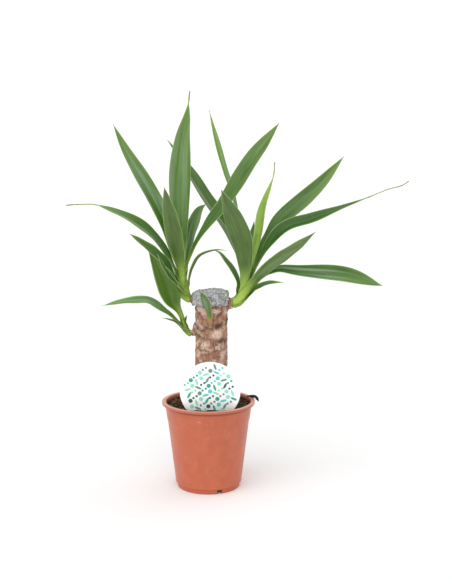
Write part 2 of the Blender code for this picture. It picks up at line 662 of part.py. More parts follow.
def make_yucca():
    """Model every piece."""
    clear_scene()
    parts = new_collection(NAME)
    cutters = new_collection(NAME + "_cutters")
    pot = make_pot(parts, cutters)
    smooth(fixed_shape(pot))
    soil = make_soil(parts, cutters)
    smooth(fixed_shape(soil))
    cane = make_cane(parts, cutters)
    smooth(fixed_shape(cane))
    cap = make_wax_cap(parts, cutters)
    smooth(fixed_shape(cap))
    make_label(parts, cutters)
    make_bark_chip(parts)
    counts = {}
    for shoot, stations in SHOOTS.items():
        make_shoot_stem(shoot + "_shoot_stem", stations, parts)
        counts[shoot] = 0
    for leaf in LEAVES:
        counts[leaf[0]] += 1
        make_leaf("%s_shoot_leaf_%02d" % (leaf[0], counts[leaf[0]]), leaf, parts)


make_yucca()
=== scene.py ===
"""Potted yucca: the detailed visible pieces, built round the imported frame.

Metres, +Z up. The origin is on the floor under the middle of the pot, +X is to the right of the
front view, and the round label faces -Y. Each operator makes one piece or one group of like pieces.
"""
import math
import random

import bmesh
import bpy
from bpy.props import FloatProperty, FloatVectorProperty, IntProperty, PointerProperty
from mathutils import Matrix, Vector, noise


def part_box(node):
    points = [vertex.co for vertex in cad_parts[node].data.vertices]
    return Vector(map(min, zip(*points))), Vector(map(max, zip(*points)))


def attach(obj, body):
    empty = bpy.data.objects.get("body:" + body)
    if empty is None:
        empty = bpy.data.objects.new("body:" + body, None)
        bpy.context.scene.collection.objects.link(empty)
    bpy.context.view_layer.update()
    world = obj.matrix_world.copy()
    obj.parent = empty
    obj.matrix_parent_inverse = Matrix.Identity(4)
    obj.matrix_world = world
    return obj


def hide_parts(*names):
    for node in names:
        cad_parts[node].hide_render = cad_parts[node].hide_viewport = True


bl_info = {
    "name": "Potted Yucca",
    "version": (1, 0, 0),
    "blender": (4, 5, 0),
    "location": "View3D > Sidebar > Yucca",
    "description": "A young yucca cane with leafy shoots in a nursery pot",
    "category": "Object",
}

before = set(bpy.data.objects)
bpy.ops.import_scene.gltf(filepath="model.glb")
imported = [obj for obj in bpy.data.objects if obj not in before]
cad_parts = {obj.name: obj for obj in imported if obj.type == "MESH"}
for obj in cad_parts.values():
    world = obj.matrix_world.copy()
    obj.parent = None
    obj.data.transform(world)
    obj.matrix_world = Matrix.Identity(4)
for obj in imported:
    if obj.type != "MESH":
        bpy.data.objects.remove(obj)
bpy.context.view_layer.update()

BODY = "root"
MM = 0.001

# Places taken from the frame
POT_LOW, POT_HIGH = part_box("pot")
SOIL_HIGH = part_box("potting_soil")[1]
CAP_LOW, CAP_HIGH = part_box("wax_cap")
LABEL_LOW, LABEL_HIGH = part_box("plant_label")
CHIP_LOW, CHIP_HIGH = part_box("bark_chip")

# Pot
FOOT_HEIGHT = 0.0068
FOOT_RADIUS = 0.0406
BODY_TOP_RADIUS = 0.0564
BODY_FOOT_RADIUS = 0.0430
FLOOR_UNDERSIDE = 0.0052
FLOOR_THICKNESS = 0.0016
PAD_RADIUS = 0.0120
NOTCH_WIDTH = 0.0070
NOTCH_HEIGHT = 0.0049
NOTCH_ANGLES = (-69, 51, 171)
DRAIN_COUNT = 6
DRAIN_RADIUS = 0.0040
DRAIN_CIRCLE = 0.0270
DRAIN_TURN = 17.0
MOULD_RING_HEIGHT = 0.0880

# Soil
SOIL_EDGE_HEIGHT = 0.1083
SOIL_BOTTOM = 0.0071

# Cane and its stubs: start, end, start radius, end radius
CANE_X = 0.0040
CANE_LOW = 0.0900
CANE_TOP = 0.2512
STUBS = (
    ((0.0180, 0.0, 0.2385), (0.0305, 0.0, 0.2400), 0.0104, 0.0066),
    ((-0.0100, 0.0, 0.2425), (-0.0228, 0.0, 0.2450), 0.0052, 0.0048),
    ((-0.0100, 0.0, 0.2050), (-0.0224, 0.0, 0.2004), 0.0115, 0.0038),
)

# Leaf scars round the cane: darkness (the scar's own brown with painted shade along its groove),
# width, and their edge as (angle in degrees, height in mm).
# The front is at -90 degrees.
LEAF_SCARS = (
    (0.75, 0.0013, ((-170, 236), (-141, 228), (-115, 221), (-98, 216.5), (-80, 220), (-61, 227),
                    (-39, 234), (0, 242), (90, 227))),
    (0.95, 0.0022, ((-175, 207), (-141, 209), (-110, 211), (-80, 213), (-40, 214), (0, 221),
                    (60, 230), (120, 216))),
    (0.80, 0.0017, ((-170, 204), (-141, 200), (-119, 196), (-98, 193), (-78, 192), (-39, 193),
                    (0, 196), (90, 206))),
    (0.55, 0.0012, ((-170, 184), (-120, 181), (-90, 179), (-40, 182), (0, 187), (100, 176))),
    (0.60, 0.0012, ((-160, 160), (-80, 157), (0, 164), (110, 155))),
    (0.60, 0.0012, ((-150, 139), (-60, 144), (30, 136), (120, 142))),
    (0.60, 0.0012, ((-160, 123), (-70, 119), (20, 125), (110, 120))),
    (0.60, 0.0014, ((-60, 236), (0, 232), (60, 239), (150, 232), (-140, 241))),
)

# Worn pale patches on the bark: angle in degrees, height in mm, reach round and up in mm
PALE_PATCHES = (
    (-67, 201, 7.0, 4.0),
    (-75, 232, 6.0, 3.0),
    (-135, 235, 3.5, 3.0),
    (-45, 176, 4.0, 7.0),
    (-120, 187, 3.0, 5.0),
    (60, 210, 7.0, 5.0),
    (150, 190, 6.0, 6.0),
)

# Shoots: axis points and the radius at each
SHOOTS = {
    "right": (
        ((0.0300, 0.0, 0.2400), 0.0066),
        ((0.0332, 0.0, 0.2404), 0.0066),
        ((0.0378, 0.0, 0.2425), 0.0064),
        ((0.0430, 0.0, 0.2490), 0.0057),
        ((0.0472, 0.0, 0.2595), 0.0046),
        ((0.0497, 0.0, 0.2705), 0.0034),
        ((0.0512, 0.0, 0.2810), 0.0018),
    ),
    "left": (
        ((-0.0225, 0.0, 0.2450), 0.0044),
        ((-0.0248, 0.0, 0.2454), 0.0050),
        ((-0.0282, 0.0, 0.2490), 0.0058),
        ((-0.0306, 0.0, 0.2560), 0.0056),
        ((-0.0322, 0.0, 0.2660), 0.0046),
        ((-0.0330, 0.0, 0.2765), 0.0033),
        ((-0.0335, 0.0, 0.2860), 0.0018),
    ),
    "low_left": (
        ((-0.0218, 0.0, 0.2000), 0.0034),
        ((-0.0240, 0.0, 0.2004), 0.0036),
        ((-0.0268, 0.0, 0.2040), 0.0034),
        ((-0.0302, 0.0, 0.2105), 0.0027),
        ((-0.0338, 0.0, 0.2190), 0.0015),
    ),
    "front": (
        ((0.0032, -0.0215, 0.2120), 0.0026),
        ((0.0028, -0.0248, 0.2175), 0.0022),
        ((0.0020, -0.0264, 0.2225), 0.0014),
    ),
}

# Leaf outline and section
LEAF_GAP = 0.0011
TIP_WIDTH = 0.0005
NECK_WIDTH = 0.0088
NECK_SHARE = 0.42
BASE_FOLD = 8.0
FOLD_GAIN = 1.5
ROWS_ALONG = 66
SHEATH_ROWS = 14
ROWS_ACROSS = 14
# Share of a shoot's height that a sheath reaches down
SHEATH_REACH = {"right": 0.42, "left": 0.42, "low_left": 0.42, "front": 0.06}
# Distances up a shoot's base between which the brown fades to green, in metres
BROWN_REACH = {"right": (0.0010, 0.0060), "left": (0.0010, 0.0060), "low_left": (0.0010, 0.0060),
               "front": (0.0090, 0.0110)}
# Share of the solid stem that is core, with the clasping sheaths built up round it
STEM_CORE = 0.70

# Each leaf: shoot, height up the shoot (0 to 1), direction it leaves in (degrees from +X towards
# +Y), widest width, where along it that is, share of it that is a dry thread, roll in the middle
# and at the tip, fold along the midrib, yellowness, lightness (the leaf's tone, raised on some
# leaves for painted sheen), waxy bloom (with painted sheen), and the points of its midrib
LEAVES = (
    ("left", 0.96, 90, 0.0280, 0.52, 0.06, 5, 0, 10, 0.20, 0.47, 0.30,
     ((-0.0330, 0.0085, 0.2960), (-0.0355, 0.0140, 0.3380), (-0.0365, 0.0220, 0.3945),
      (-0.0330, 0.0280, 0.4450), (-0.0270, 0.0330, 0.4765), (-0.0235, 0.0380, 0.5070))),
    ("left", 0.78, 130, 0.0198, 0.50, 0.0, -21, -25, 24, 0.05, 0.58, 0.50,
     ((-0.0450, 0.0110, 0.3065), (-0.0580, 0.0180, 0.3465), (-0.0735, 0.0270, 0.3775),
      (-0.1065, 0.0420, 0.4325), (-0.1235, 0.0500, 0.4660))),
    ("left", 0.72, -100, 0.0205, 0.50, 0.0, 10, 10, 12, 0.05, 0.47, 0.10,
     ((-0.0350, -0.0100, 0.2930), (-0.0405, -0.0220, 0.3220), (-0.0460, -0.0350, 0.3535),
      (-0.0515, -0.0520, 0.3880))),
    ("left", 0.55, 160, 0.0180, 0.45, 0.20, -14, -20, 12, 0.05, 0.50, 0.55,
     ((-0.0495, 0.0030, 0.2975), (-0.0700, 0.0020, 0.3265), (-0.0975, 0.0000, 0.3475),
      (-0.1350, -0.0030, 0.3630), (-0.1550, -0.0040, 0.3652), (-0.1775, -0.0060, 0.3640))),
    ("left", 0.38, 195, 0.0148, 0.50, 0.0, -40, -46, 14, 0.0, 0.36, 0.0,
     ((-0.0475, -0.0130, 0.2860), (-0.0645, -0.0220, 0.3055), (-0.0830, -0.0310, 0.3215),
      (-0.0960, -0.0360, 0.3310))),
    ("left", 0.62, 60, 0.0190, 0.74, 0.0, 0, 0, 10, 0.0, 0.45, 0.55,
     ((-0.0275, 0.0160, 0.2990), (-0.0240, 0.0250, 0.3200), (-0.0190, 0.0330, 0.3395),
      (-0.0127, 0.0415, 0.3550), (-0.0040, 0.0475, 0.3630))),
    ("left", 0.80, 25, 0.0222, 0.68, 0.0, 30, 32, 10, 0.10, 0.42, 0.05,
     ((-0.0185, -0.0030, 0.3110), (0.0010, -0.0060, 0.3425), (0.0212, -0.0070, 0.3690),
      (0.0510, -0.0060, 0.4165), (0.0695, -0.0040, 0.4410), (0.0890, 0.0000, 0.4660))),
    ("left", 0.36, -45, 0.0062, 0.50, 0.0, -5, -10, 14, 0.0, 0.50, 0.35,
     ((-0.0235, -0.0070, 0.2740), (-0.0195, -0.0095, 0.2870), (-0.0100, -0.0140, 0.3020),
      (0.0090, -0.0220, 0.3095), (0.0250, -0.0270, 0.3090))),
    ("left", 0.16, 215, 0.0120, 0.55, 0.0, -55, -60, 18, 0.0, 0.32, 0.00,
     ((-0.0385, -0.0180, 0.2640), (-0.0470, -0.0230, 0.2750), (-0.0540, -0.0280, 0.2865),
      (-0.0620, -0.0350, 0.3065))),
    ("low_left", 0.85, 125, 0.0270, 0.45, 0.0, -25, -25, 20, 0.35, 0.45, 0.0,
     ((-0.0362, 0.0030, 0.2235), (-0.0458, 0.0050, 0.2425), (-0.0546, 0.0080, 0.2680),
      (-0.0645, 0.0100, 0.2895), (-0.0768, 0.0100, 0.3100))),
    ("low_left", 0.45, 175, 0.0135, 0.40, 0.0, -22, -30, 16, 0.10, 0.80, 0.95,
     ((-0.0460, -0.0050, 0.2230), (-0.0570, -0.0080, 0.2320), (-0.0730, -0.0120, 0.2436),
      (-0.0855, -0.0140, 0.2457), (-0.1080, -0.0170, 0.2442), (-0.1330, -0.0200, 0.2390))),
    ("low_left", 0.22, 225, 0.0060, 0.45, 0.0, -55, -55, 20, 0.1, 0.55, 0.40,
     ((-0.0400, -0.0130, 0.2165), (-0.0490, -0.0170, 0.2210), (-0.0580, -0.0200, 0.2240))),
    ("low_left", 0.60, 40, 0.0035, 0.40, 0.0, 0, 0, 20, 0.1, 0.50, 0.20,
     ((-0.0295, 0.0030, 0.2160), (-0.0270, 0.0040, 0.2240))),
    ("right", 0.50, -110, 0.0270, 0.55, 0.0, 15, 15, 10, 0.0, 0.50, 0.05,
     ((0.0460, -0.0140, 0.2880), (0.0435, -0.0240, 0.3160), (0.0350, -0.0380, 0.3415),
      (0.0260, -0.0500, 0.3640), (0.0170, -0.0600, 0.3850))),
    ("right", 0.80, 150, 0.0108, 0.60, 0.0, -8, -45, 14, 0.30, 0.80, 0.30,
     ((0.0455, 0.0110, 0.2950), (0.0415, 0.0200, 0.3250), (0.0320, 0.0310, 0.3740),
      (0.0212, 0.0370, 0.4070), (0.0072, 0.0460, 0.4580), (0.0010, 0.0500, 0.4835))),
    ("right", 0.60, 160, 0.0265, 0.50, 0.0, -26, -26, 26, 0.05, 0.42, 0.10,
     ((0.0405, 0.0180, 0.2900), (0.0305, 0.0340, 0.3175), (0.0175, 0.0490, 0.3405),
      (-0.0055, 0.0680, 0.3720), (-0.0330, 0.0860, 0.4145), (-0.0565, 0.1000, 0.4465))),
    ("right", 1.00, 60, 0.0115, 0.42, 0.12, 10, 10, 26, 1.0, 0.84, 0.00,
     ((0.0570, 0.0030, 0.2970), (0.0635, 0.0030, 0.3285), (0.0685, 0.0040, 0.3600),
      (0.0815, 0.0050, 0.3975), (0.0840, 0.0050, 0.4175))),
    ("right", 0.94, 110, 0.0110, 0.50, 0.0, 0, 0, 20, 0.0, 0.35, 0.40,
     ((0.0540, 0.0160, 0.3030), (0.0560, 0.0260, 0.3215), (0.0590, 0.0330, 0.3420))),
    ("right", 0.72, 50, 0.0208, 0.58, 0.0, 35, 35, 16, 0.10, 0.48, 0.25,
     ((0.0660, 0.0110, 0.3035), (0.0790, 0.0180, 0.3235), (0.0930, 0.0250, 0.3450),
      (0.1235, 0.0350, 0.3705), (0.1485, 0.0430, 0.3935), (0.1760, 0.0520, 0.4245))),
    ("right", 0.58, 0, 0.0200, 0.32, 0.22, 42, 20, 18, 0.0, 0.30, 0.05,
     ((0.0615, -0.0070, 0.2885), (0.0800, -0.0120, 0.3205), (0.0990, -0.0120, 0.3385),
      (0.1290, -0.0080, 0.3475), (0.1535, -0.0030, 0.3560), (0.1915, 0.0040, 0.3695),
      (0.2245, 0.0080, 0.3825), (0.2435, 0.0100, 0.3875), (0.2535, 0.0110, 0.3935))),
    ("right", 0.36, -70, 0.0165, 0.52, 0.0, -2, 0, 12, 0.0, 0.58, 0.20,
     ((0.0575, -0.0120, 0.2690), (0.0760, -0.0220, 0.2890), (0.0885, -0.0280, 0.2990),
      (0.1115, -0.0400, 0.3175), (0.1310, -0.0510, 0.3345))),
    ("right", 0.46, 60, 0.0205, 0.70, 0.0, 24, 24, 16, 0.0, 0.44, 0.70,
     ((0.0700, 0.0120, 0.2735), (0.0815, 0.0150, 0.2790), (0.0935, 0.0180, 0.2815),
      (0.1180, 0.0210, 0.2787), (0.1770, 0.0270, 0.2730), (0.2265, 0.0300, 0.2575))),
    ("right", 0.20, 0, 0.0085, 0.45, 0.0, 30, 35, 16, 0.0, 0.35, 0.10,
     ((0.0555, -0.0070, 0.2545), (0.0610, -0.0090, 0.2605), (0.0765, -0.0140, 0.2675),
      (0.0950, -0.0180, 0.2685))),
    ("right", 0.30, 135, 0.0073, 0.45, 0.0, -20, -20, 16, 0.0, 0.42, 0.20,
     ((0.0380, 0.0070, 0.2670), (0.0310, 0.0110, 0.2820), (0.0225, 0.0140, 0.2930),
      (0.0150, 0.0160, 0.3020), (0.0060, 0.0180, 0.3060))),
    ("front", 0.98, -110, 0.0106, 0.58, 0.0, 0, 0, 28, 0.0, 0.40, 0.45,
     ((0.0012, -0.0285, 0.2290), (-0.0008, -0.0300, 0.2370), (-0.0035, -0.0330, 0.2470),
      (-0.0090, -0.0360, 0.2595))),
    ("front", 0.70, 40, 0.0040, 0.45, 0.0, 0, 0, 25, 0.3, 0.60, 0.30,
     ((0.0035, -0.0265, 0.2320), (0.0040, -0.0290, 0.2410))),
)


# Colour and node helpers

def linear(hex_colour):
    """Turn an sRGB hex colour such as #C77053 into linear red, green, blue and alpha."""
    channels = []
    for start in (1, 3, 5):
        value = int(hex_colour[start:start + 2], 16) / 255
        if value <= 0.04045:
            channels.append(value / 12.92)
        else:
            channels.append(((value + 0.055) / 1.055) ** 2.4)
    return (*channels, 1.0)


def add_node(tree, kind, inputs=None, stops=None, **settings):
    """Add a node, set its properties and ramp stops, and feed its inputs from sockets or constants."""
    node = tree.nodes.new(kind)
    for name, value in settings.items():
        setattr(node, name, value)
    if stops:
        elements = node.color_ramp.elements
        while len(elements) < len(stops):
            elements.new(1.0)
        for element, (position, colour) in zip(elements, stops):
            element.position = position
            element.color = colour
    for name, value in (inputs or {}).items():
        if isinstance(value, bpy.types.NodeSocket):
            tree.links.new(value, node.inputs[name])
        else:
            node.inputs[name].default_value = value
    return node


# Socket numbers of a Mix node that mixes colours
FACTOR, COLOUR_A, COLOUR_B, COLOUR_OUT = 0, 6, 7, 2
GREY = {value: (value, value, value, 1.0) for value in (0.0, 0.5, 1.0)}


def blend_colours(tree, factor, low, high, mode="MIX"):
    """A colour between low and high, or high laid over low by the mode."""
    mix = add_node(tree, "ShaderNodeMix", {FACTOR: factor, COLOUR_A: low, COLOUR_B: high},
                   data_type="RGBA", blend_type=mode, clamp_factor=True)
    return mix.outputs[COLOUR_OUT]


def object_cells(tree, size_mm, wander=0.35):
    """Distance to the edges of uneven cells about size_mm across, 0 on an edge."""
    where = add_node(tree, "ShaderNodeTexCoord").outputs["Object"]
    swirl = add_node(tree, "ShaderNodeTexNoise",
                     {"Vector": where, "Scale": 1000.0 / size_mm, "Detail": 2.0})
    shift = add_node(tree, "ShaderNodeVectorMath",
                     {0: swirl.outputs["Color"], 1: (wander * size_mm * MM,) * 3, 2: where},
                     operation="MULTIPLY_ADD")
    cells = add_node(tree, "ShaderNodeTexVoronoi",
                     {"Vector": shift.outputs[0], "Scale": 1000.0 / size_mm},
                     feature="DISTANCE_TO_EDGE")
    return cells.outputs["Distance"]


def threshold(tree, value, low, high):
    """Nought below low, one above high."""
    ramp = add_node(tree, "ShaderNodeMapRange", {"Value": value, "From Min": low, "From Max": high},
                    interpolation_type="SMOOTHSTEP", clamp=True)
    return ramp.outputs["Result"]


def object_noise(tree, grain_mm, detail=3.0, roughness=0.55, stretch=(1, 1, 1)):
    """Noise on object coordinates whose grains are about grain_mm across."""
    where = add_node(tree, "ShaderNodeTexCoord").outputs["Object"]
    mapped = add_node(tree, "ShaderNodeMapping", {"Vector": where, "Scale": stretch})
    texture = add_node(tree, "ShaderNodeTexNoise",
                       {"Vector": mapped.outputs["Vector"], "Scale": 1000.0 / grain_mm,
                        "Detail": detail, "Roughness": roughness})
    return texture.outputs["Fac"]


def new_material(name, roughness, ior=1.5, **constants):
    """An empty material with its shader, whose constant values are set on its own sockets."""
    material = bpy.data.materials.new(name)
    material.use_nodes = True
    tree = material.node_tree
    shader = tree.nodes["Principled BSDF"]
    shader.inputs["Roughness"].default_value = roughness
    shader.inputs["IOR"].default_value = ior
    for socket, value in constants.items():
        shader.inputs[socket.replace("_", " ")].default_value = value
    return material, tree, shader


def bump_from(tree, shader, height, depth_mm, strength=1.0):
    """Give the shader fine relief, depth_mm deep."""
    bump = add_node(tree, "ShaderNodeBump",
                    {"Height": height, "Distance": depth_mm * MM, "Strength": strength})
    tree.links.new(bump.outputs["Normal"], shader.inputs["Normal"])


# Shape helpers

def ease(value, start, end):
    """Smooth step from 0 to 1 between start and end."""
    share = min(1.0, max(0.0, (value - start) / (end - start)))
    return share * share * (3 - 2 * share)


def grain(point, size, seed=0.0):
    """Smooth random value from -1 to 1 whose grains are about size across."""
    return noise.noise(Vector(point) / size + Vector((seed, seed * 1.7, seed * 0.6)))


def rough_grain(point, size, octaves=3, seed=0.0):
    """The same with finer grains on top."""
    total = 0.0
    weight = 1.0
    for octave in range(octaves):
        total += weight * grain(point, size / 2 ** octave, seed + 7.3 * octave)
        weight *= 0.5
    return total


def finished(name, bm, materials, replaced=(), crease=40.0):
    """Make the finished piece from its bmesh and fasten it to the frame."""
    mesh = bpy.data.meshes.new(name)
    bm.to_mesh(mesh)
    bm.free()
    for material in materials:
        mesh.materials.append(material)
    mesh.shade_smooth()
    mesh.set_sharp_from_angle(angle=math.radians(crease))
    piece = bpy.data.objects.new(name, mesh)
    bpy.context.scene.collection.objects.link(piece)
    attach(piece, BODY)
    if replaced:
        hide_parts(*replaced)
    return piece


def spun(profile, steps):
    """Turn a chain of (radius, height) points about the vertical axis."""
    bm = bmesh.new()
    chain = [bm.verts.new((radius, 0.0, height)) for radius, height in profile]
    edges = [bm.edges.new(pair) for pair in zip(chain, chain[1:])]
    bmesh.ops.spin(bm, geom=chain + edges, axis=(0, 0, 1), cent=(0, 0, 0),
                   angle=2 * math.pi, steps=steps, use_merge=True)
    bmesh.ops.remove_doubles(bm, verts=bm.verts, dist=0.000005)
    bmesh.ops.recalc_face_normals(bm, faces=bm.faces)
    return bm


def rounded(profile, radius, corner_steps=3):
    """Round the corners of a chain of points with small arcs."""
    points = [Vector(point) for point in profile]
    result = [points[0]]
    for before, corner, after in zip(points, points[1:], points[2:]):
        into = before - corner
        out = after - corner
        reach = min(radius, 0.45 * into.length, 0.45 * out.length)
        start = corner + into.normalized() * reach
        end = corner + out.normalized() * reach
        for step in range(corner_steps + 1):
            t = step / corner_steps
            result.append((1 - t) ** 2 * start + 2 * t * (1 - t) * corner + t * t * end)
    result.append(points[-1])
    return [(point.x, point.y) for point in result]


def stepped(profile, spacing):
    """Add points to a chain so that none are further apart than spacing."""
    points = [Vector(point) for point in profile]
    result = [points[0]]
    for start, end in zip(points, points[1:]):
        count = max(1, math.ceil((end - start).length / spacing))
        for step in range(1, count + 1):
            result.append(start.lerp(end, step / count))
    return [(point.x, point.y) for point in result]


def tube(stations, around, rows):
    """A closed tapering tube through (point, radius) stations."""
    points = [Vector(place) for place, _ in stations]
    chain = curve_through(points)
    bm = bmesh.new()
    bmesh.ops.create_grid(bm, x_segments=around, y_segments=rows, size=1.0)
    frames = rolled_frames(chain, rows, Vector((0, -1, 0)))
    for vertex in bm.verts:
        share = (vertex.co.y + 1) / 2
        place, direction, normal = frames[round(share * rows)]
        radius = radius_at(stations, share)
        angle = math.pi * vertex.co.x
        side = direction.cross(normal)
        vertex.co = place + (side * math.sin(angle) + normal * math.cos(angle)) * radius
    bmesh.ops.remove_doubles(bm, verts=bm.verts, dist=0.000002)
    bmesh.ops.holes_fill(bm, edges=[edge for edge in bm.edges if edge.is_boundary], sides=0)
    bmesh.ops.recalc_face_normals(bm, faces=bm.faces)
    return bm


def radius_at(stations, share):
    """Radius at a share of the way through (point, radius) stations."""
    position = share * (len(stations) - 1)
    index = min(int(position), len(stations) - 2)
    part = position - index
    return stations[index][1] * (1 - part) + stations[index + 1][1] * part


def along(points, share):
    """The place, direction and segment at a share of a chain's length."""
    lengths = [(end - start).length for start, end in zip(points, points[1:])]
    target = share * sum(lengths)
    for index, length in enumerate(lengths):
        if target <= length or index == len(lengths) - 1:
            part = min(1.0, target / length)
            direction = (points[index + 1] - points[index]).normalized()
            return points[index].lerp(points[index + 1], part), direction, index, part
        target -= length


def curve_through(points, per_span=12):
    """A close chain of points on a smooth curve through the given ones."""
    ends = [2 * points[0] - points[1]] + points + [2 * points[-1] - points[-2]]
    chain = []
    for index in range(len(points) - 1):
        before, start, end, after = ends[index:index + 4]
        for step in range(per_span):
            t = step / per_span
            chain.append(0.5 * (
                2 * start + (end - before) * t
                + (2 * before - 5 * start + 4 * end - after) * t ** 2
                + (3 * start - before - 3 * end + after) * t ** 3
            ))
    chain.append(points[-1].copy())
    return chain


def rolled_frames(chain, count, normal):
    """Place, direction and a normal that doesn't twist, at even steps along a chain."""
    frames = []
    for step in range(count + 1):
        place, direction, _, _ = along(chain, step / count)
        normal = (normal - normal.dot(direction) * direction).normalized()
        frames.append((place, direction, normal.copy()))
    return frames


# Settings

def length_property(name, description, default):
    """A length in metres."""
    return FloatProperty(name=name, description=description, default=default, min=0.0,
                         subtype="DISTANCE", unit="LENGTH", precision=5)


def colour_property(name, description, hex_colour):
    """A colour given as an sRGB hex value."""
    return FloatVectorProperty(name=name, description=description, default=linear(hex_colour),
                               size=4, min=0.0, max=1.0, subtype="COLOR")


class YuccaPotSettings(bpy.types.PropertyGroup):
    """Sizes and colour of the nursery pot."""
    rim_radius: length_property("Rim radius", "Outer radius of the rim", POT_HIGH.x)
    height: length_property("Height", "Height of the pot", POT_HIGH.z)
    lip: length_property("Lip", "Height of the turned-down lip", 0.0034)
    wall: length_property("Wall", "Thickness of the wall", 0.0015)
    colour: colour_property("Plastic", "Colour of the plastic", "#B65C3D")
    haze: colour_property("Haze", "Colour of the faint dusty haze", "#BD735A")


class YuccaSoilSettings(bpy.types.PropertyGroup):
    """Surface of the potting mix."""
    height: length_property("Height", "Height of the soil in the middle", SOIL_HIGH.z)
    crumbs: IntProperty(name="Crumbs", description="Loose crumbs on top", default=900, min=0)
    fibres: IntProperty(name="Fibres", description="Loose peat fibres on top", default=260, min=0)
    colour: colour_property("Peat", "Colour of the damp peat", "#211A12")
    speck: colour_property("Specks", "Colour of the straw-coloured specks", "#A5814F")


class YuccaCaneSettings(bpy.types.PropertyGroup):
    """Sizes and colours of the cane."""
    radius: length_property("Radius", "Mean radius of the cane", 0.0206)
    relief: length_property("Relief", "Depth of the leaf scars", 0.0006)
    bark: colour_property("Bark", "Main colour of the bark", "#A2765D")
    pale: colour_property("Pale bark", "Colour of the worn patches", "#DCC3B2")
    dark: colour_property("Dark bark", "Colour of the scars and cracks", "#4B3226")


class YuccaWaxSettings(bpy.types.PropertyGroup):
    """Lumps and colours of the sealing wax."""
    lumps: length_property("Lumps", "Height of the lumps", 0.0010)
    wax: colour_property("Wax", "Colour of the wax", "#ACADAE")
    pale: colour_property("Pale wax", "Colour of the wax's high spots", "#DADBDB")
    dark: colour_property("Dark wax", "Colour of the pits", "#525456")


class YuccaLabelSettings(bpy.types.PropertyGroup):
    """Sizes and colours of the round label."""
    radius: length_property("Radius", "Radius of the round card", 0.0379)
    thickness: length_property("Thickness", "Thickness of the card", 0.0010)
    card: colour_property("Card", "Colour of the card", "#FBFDFD")
    mint: colour_property("Mint", "First ink", "#8FDDBF")
    aqua: colour_property("Aqua", "Second ink", "#5CC9C4")
    teal: colour_property("Teal", "Third ink", "#2E9E8F")
    forest: colour_property("Forest", "Fourth ink", "#1F5F50")
    sage: colour_property("Sage", "Fifth ink", "#6C8F82")


class YuccaLeafSettings(bpy.types.PropertyGroup):
    """Thickness and colours of the leaves."""
    thickness: length_property("Thickness", "Thickness of a blade at its midrib", 0.0010)
    upper: colour_property("Upper side", "Colour of the glossy upper side", "#3F7014")
    under: colour_property("Underside", "Colour of the matt underside", "#5E7B3A")
    young: colour_property("Young leaf", "Colour of a young, yellow-green leaf", "#90AF50")
    sheath: colour_property("Sheath", "Colour of the clasping leaf bases", "#A4C050")
    margin: colour_property("Margin", "Colour of the thin pale edge", "#B7D286")
    # The bloom colour also serves as painted sheen, where the leaves catch their bright surroundings
    bloom_and_sheen: colour_property("Bloom", "Colour of the greyish waxy film", "#93AC8B")
    dry: colour_property("Dry tip", "Colour of the dry tips and bracts", "#96805E")


class YuccaStageSettings(bpy.types.PropertyGroup):
    """Floor, light and camera."""
    floor: colour_property("Floor", "Colour of the floor", "#F6F6F6")
    sky: FloatProperty(name="Sky", description="Strength of the soft light from all round",
                       default=0.78, min=0.0)
    key: FloatProperty(name="Key", description="Strength of the soft key light", default=1.5, min=0.0)
    near_floor: length_property("Near floor", "Radius of the floor round the pot", 0.55)
    fill: FloatProperty(name="Fill", description="Strength of the light from behind", default=0.5,
                        min=0.0)
    focal_length: FloatProperty(name="Focal length", description="Of the camera, in millimetres",
                                default=58.75, min=10.0, subtype="DISTANCE_CAMERA")


# Pot

def body_radius(height):
    """Outer radius of the pot's tapered wall at a height."""
    share = (height - FOOT_HEIGHT) / (POT_HIGH.z - FOOT_HEIGHT)
    return BODY_FOOT_RADIUS + share * (BODY_TOP_RADIUS - BODY_FOOT_RADIUS)


def moulded_polypropylene(settings):
    """Terracotta-coloured polypropylene, injection moulded: satin, evenly coloured right through.

    The eye sees a soft sheen, a faint mottle where the melt flowed, thin pale scuffs and a little
    dust. A band of painted shade lies just under the lip, and a thin painted highlight runs along
    the top of the rim.
    """
    material, tree, shader = new_material("moulded_polypropylene", 0.40, ior=1.49)
    mottle = threshold(tree, object_noise(tree, 16.0, 3.0), 0.35, 0.70)
    colour = blend_colours(tree, mottle, settings.colour, linear("#BE6243"))
    dust = threshold(tree, object_noise(tree, 7.0, 5.0, 0.7, (1.0, 1.0, 0.30)), 0.56, 0.80)
    colour = blend_colours(tree, dust, colour, settings.haze)
    scuff = threshold(tree, object_noise(tree, 1.5, 3.0, 0.6, (0.10, 0.10, 0.55)), 0.69, 0.76)
    colour = blend_colours(tree, scuff, colour, linear("#CF8B74"))
    speck = threshold(tree, object_noise(tree, 1.6, 2.0), 0.72, 0.77)
    colour = blend_colours(tree, speck, colour, linear("#A04C35"))
    lip_bottom = settings.height - settings.lip
    # Painted shade: a darker band on the wall just under the turned-down lip
    darkening = add_node(tree, "ShaderNodeMath", {
        0: height_band(tree, lip_bottom - 0.0040, lip_bottom - 0.0012),
        1: height_band(tree, lip_bottom + 0.0006, lip_bottom)}, operation="MULTIPLY")
    colour = blend_colours(tree, darkening.outputs[0], colour, linear("#8A3F2C"))
    # Painted highlight: a thin lighter line along the top of the rim
    painted_rim_highlight = height_band(tree, settings.height - 0.0006, settings.height - 0.0001)
    colour = blend_colours(tree, painted_rim_highlight, colour, linear("#CB8B74"))
    tree.links.new(colour, shader.inputs["Base Color"])
    shine = add_node(tree, "ShaderNodeMapRange", {"Value": dust, "To Min": 0.36, "To Max": 0.55})
    tree.links.new(shine.outputs["Result"], shader.inputs["Roughness"])
    bump_from(tree, shader, object_noise(tree, 0.9, 2.0), 0.015)
    return material


def height_band(tree, low, high):
    """Share that rises from 0 to 1 between two heights on the object."""
    place = add_node(tree, "ShaderNodeTexCoord").outputs["Object"]
    split = add_node(tree, "ShaderNodeSeparateXYZ", {"Vector": place})
    return threshold(tree, split.outputs["Z"], low, high)


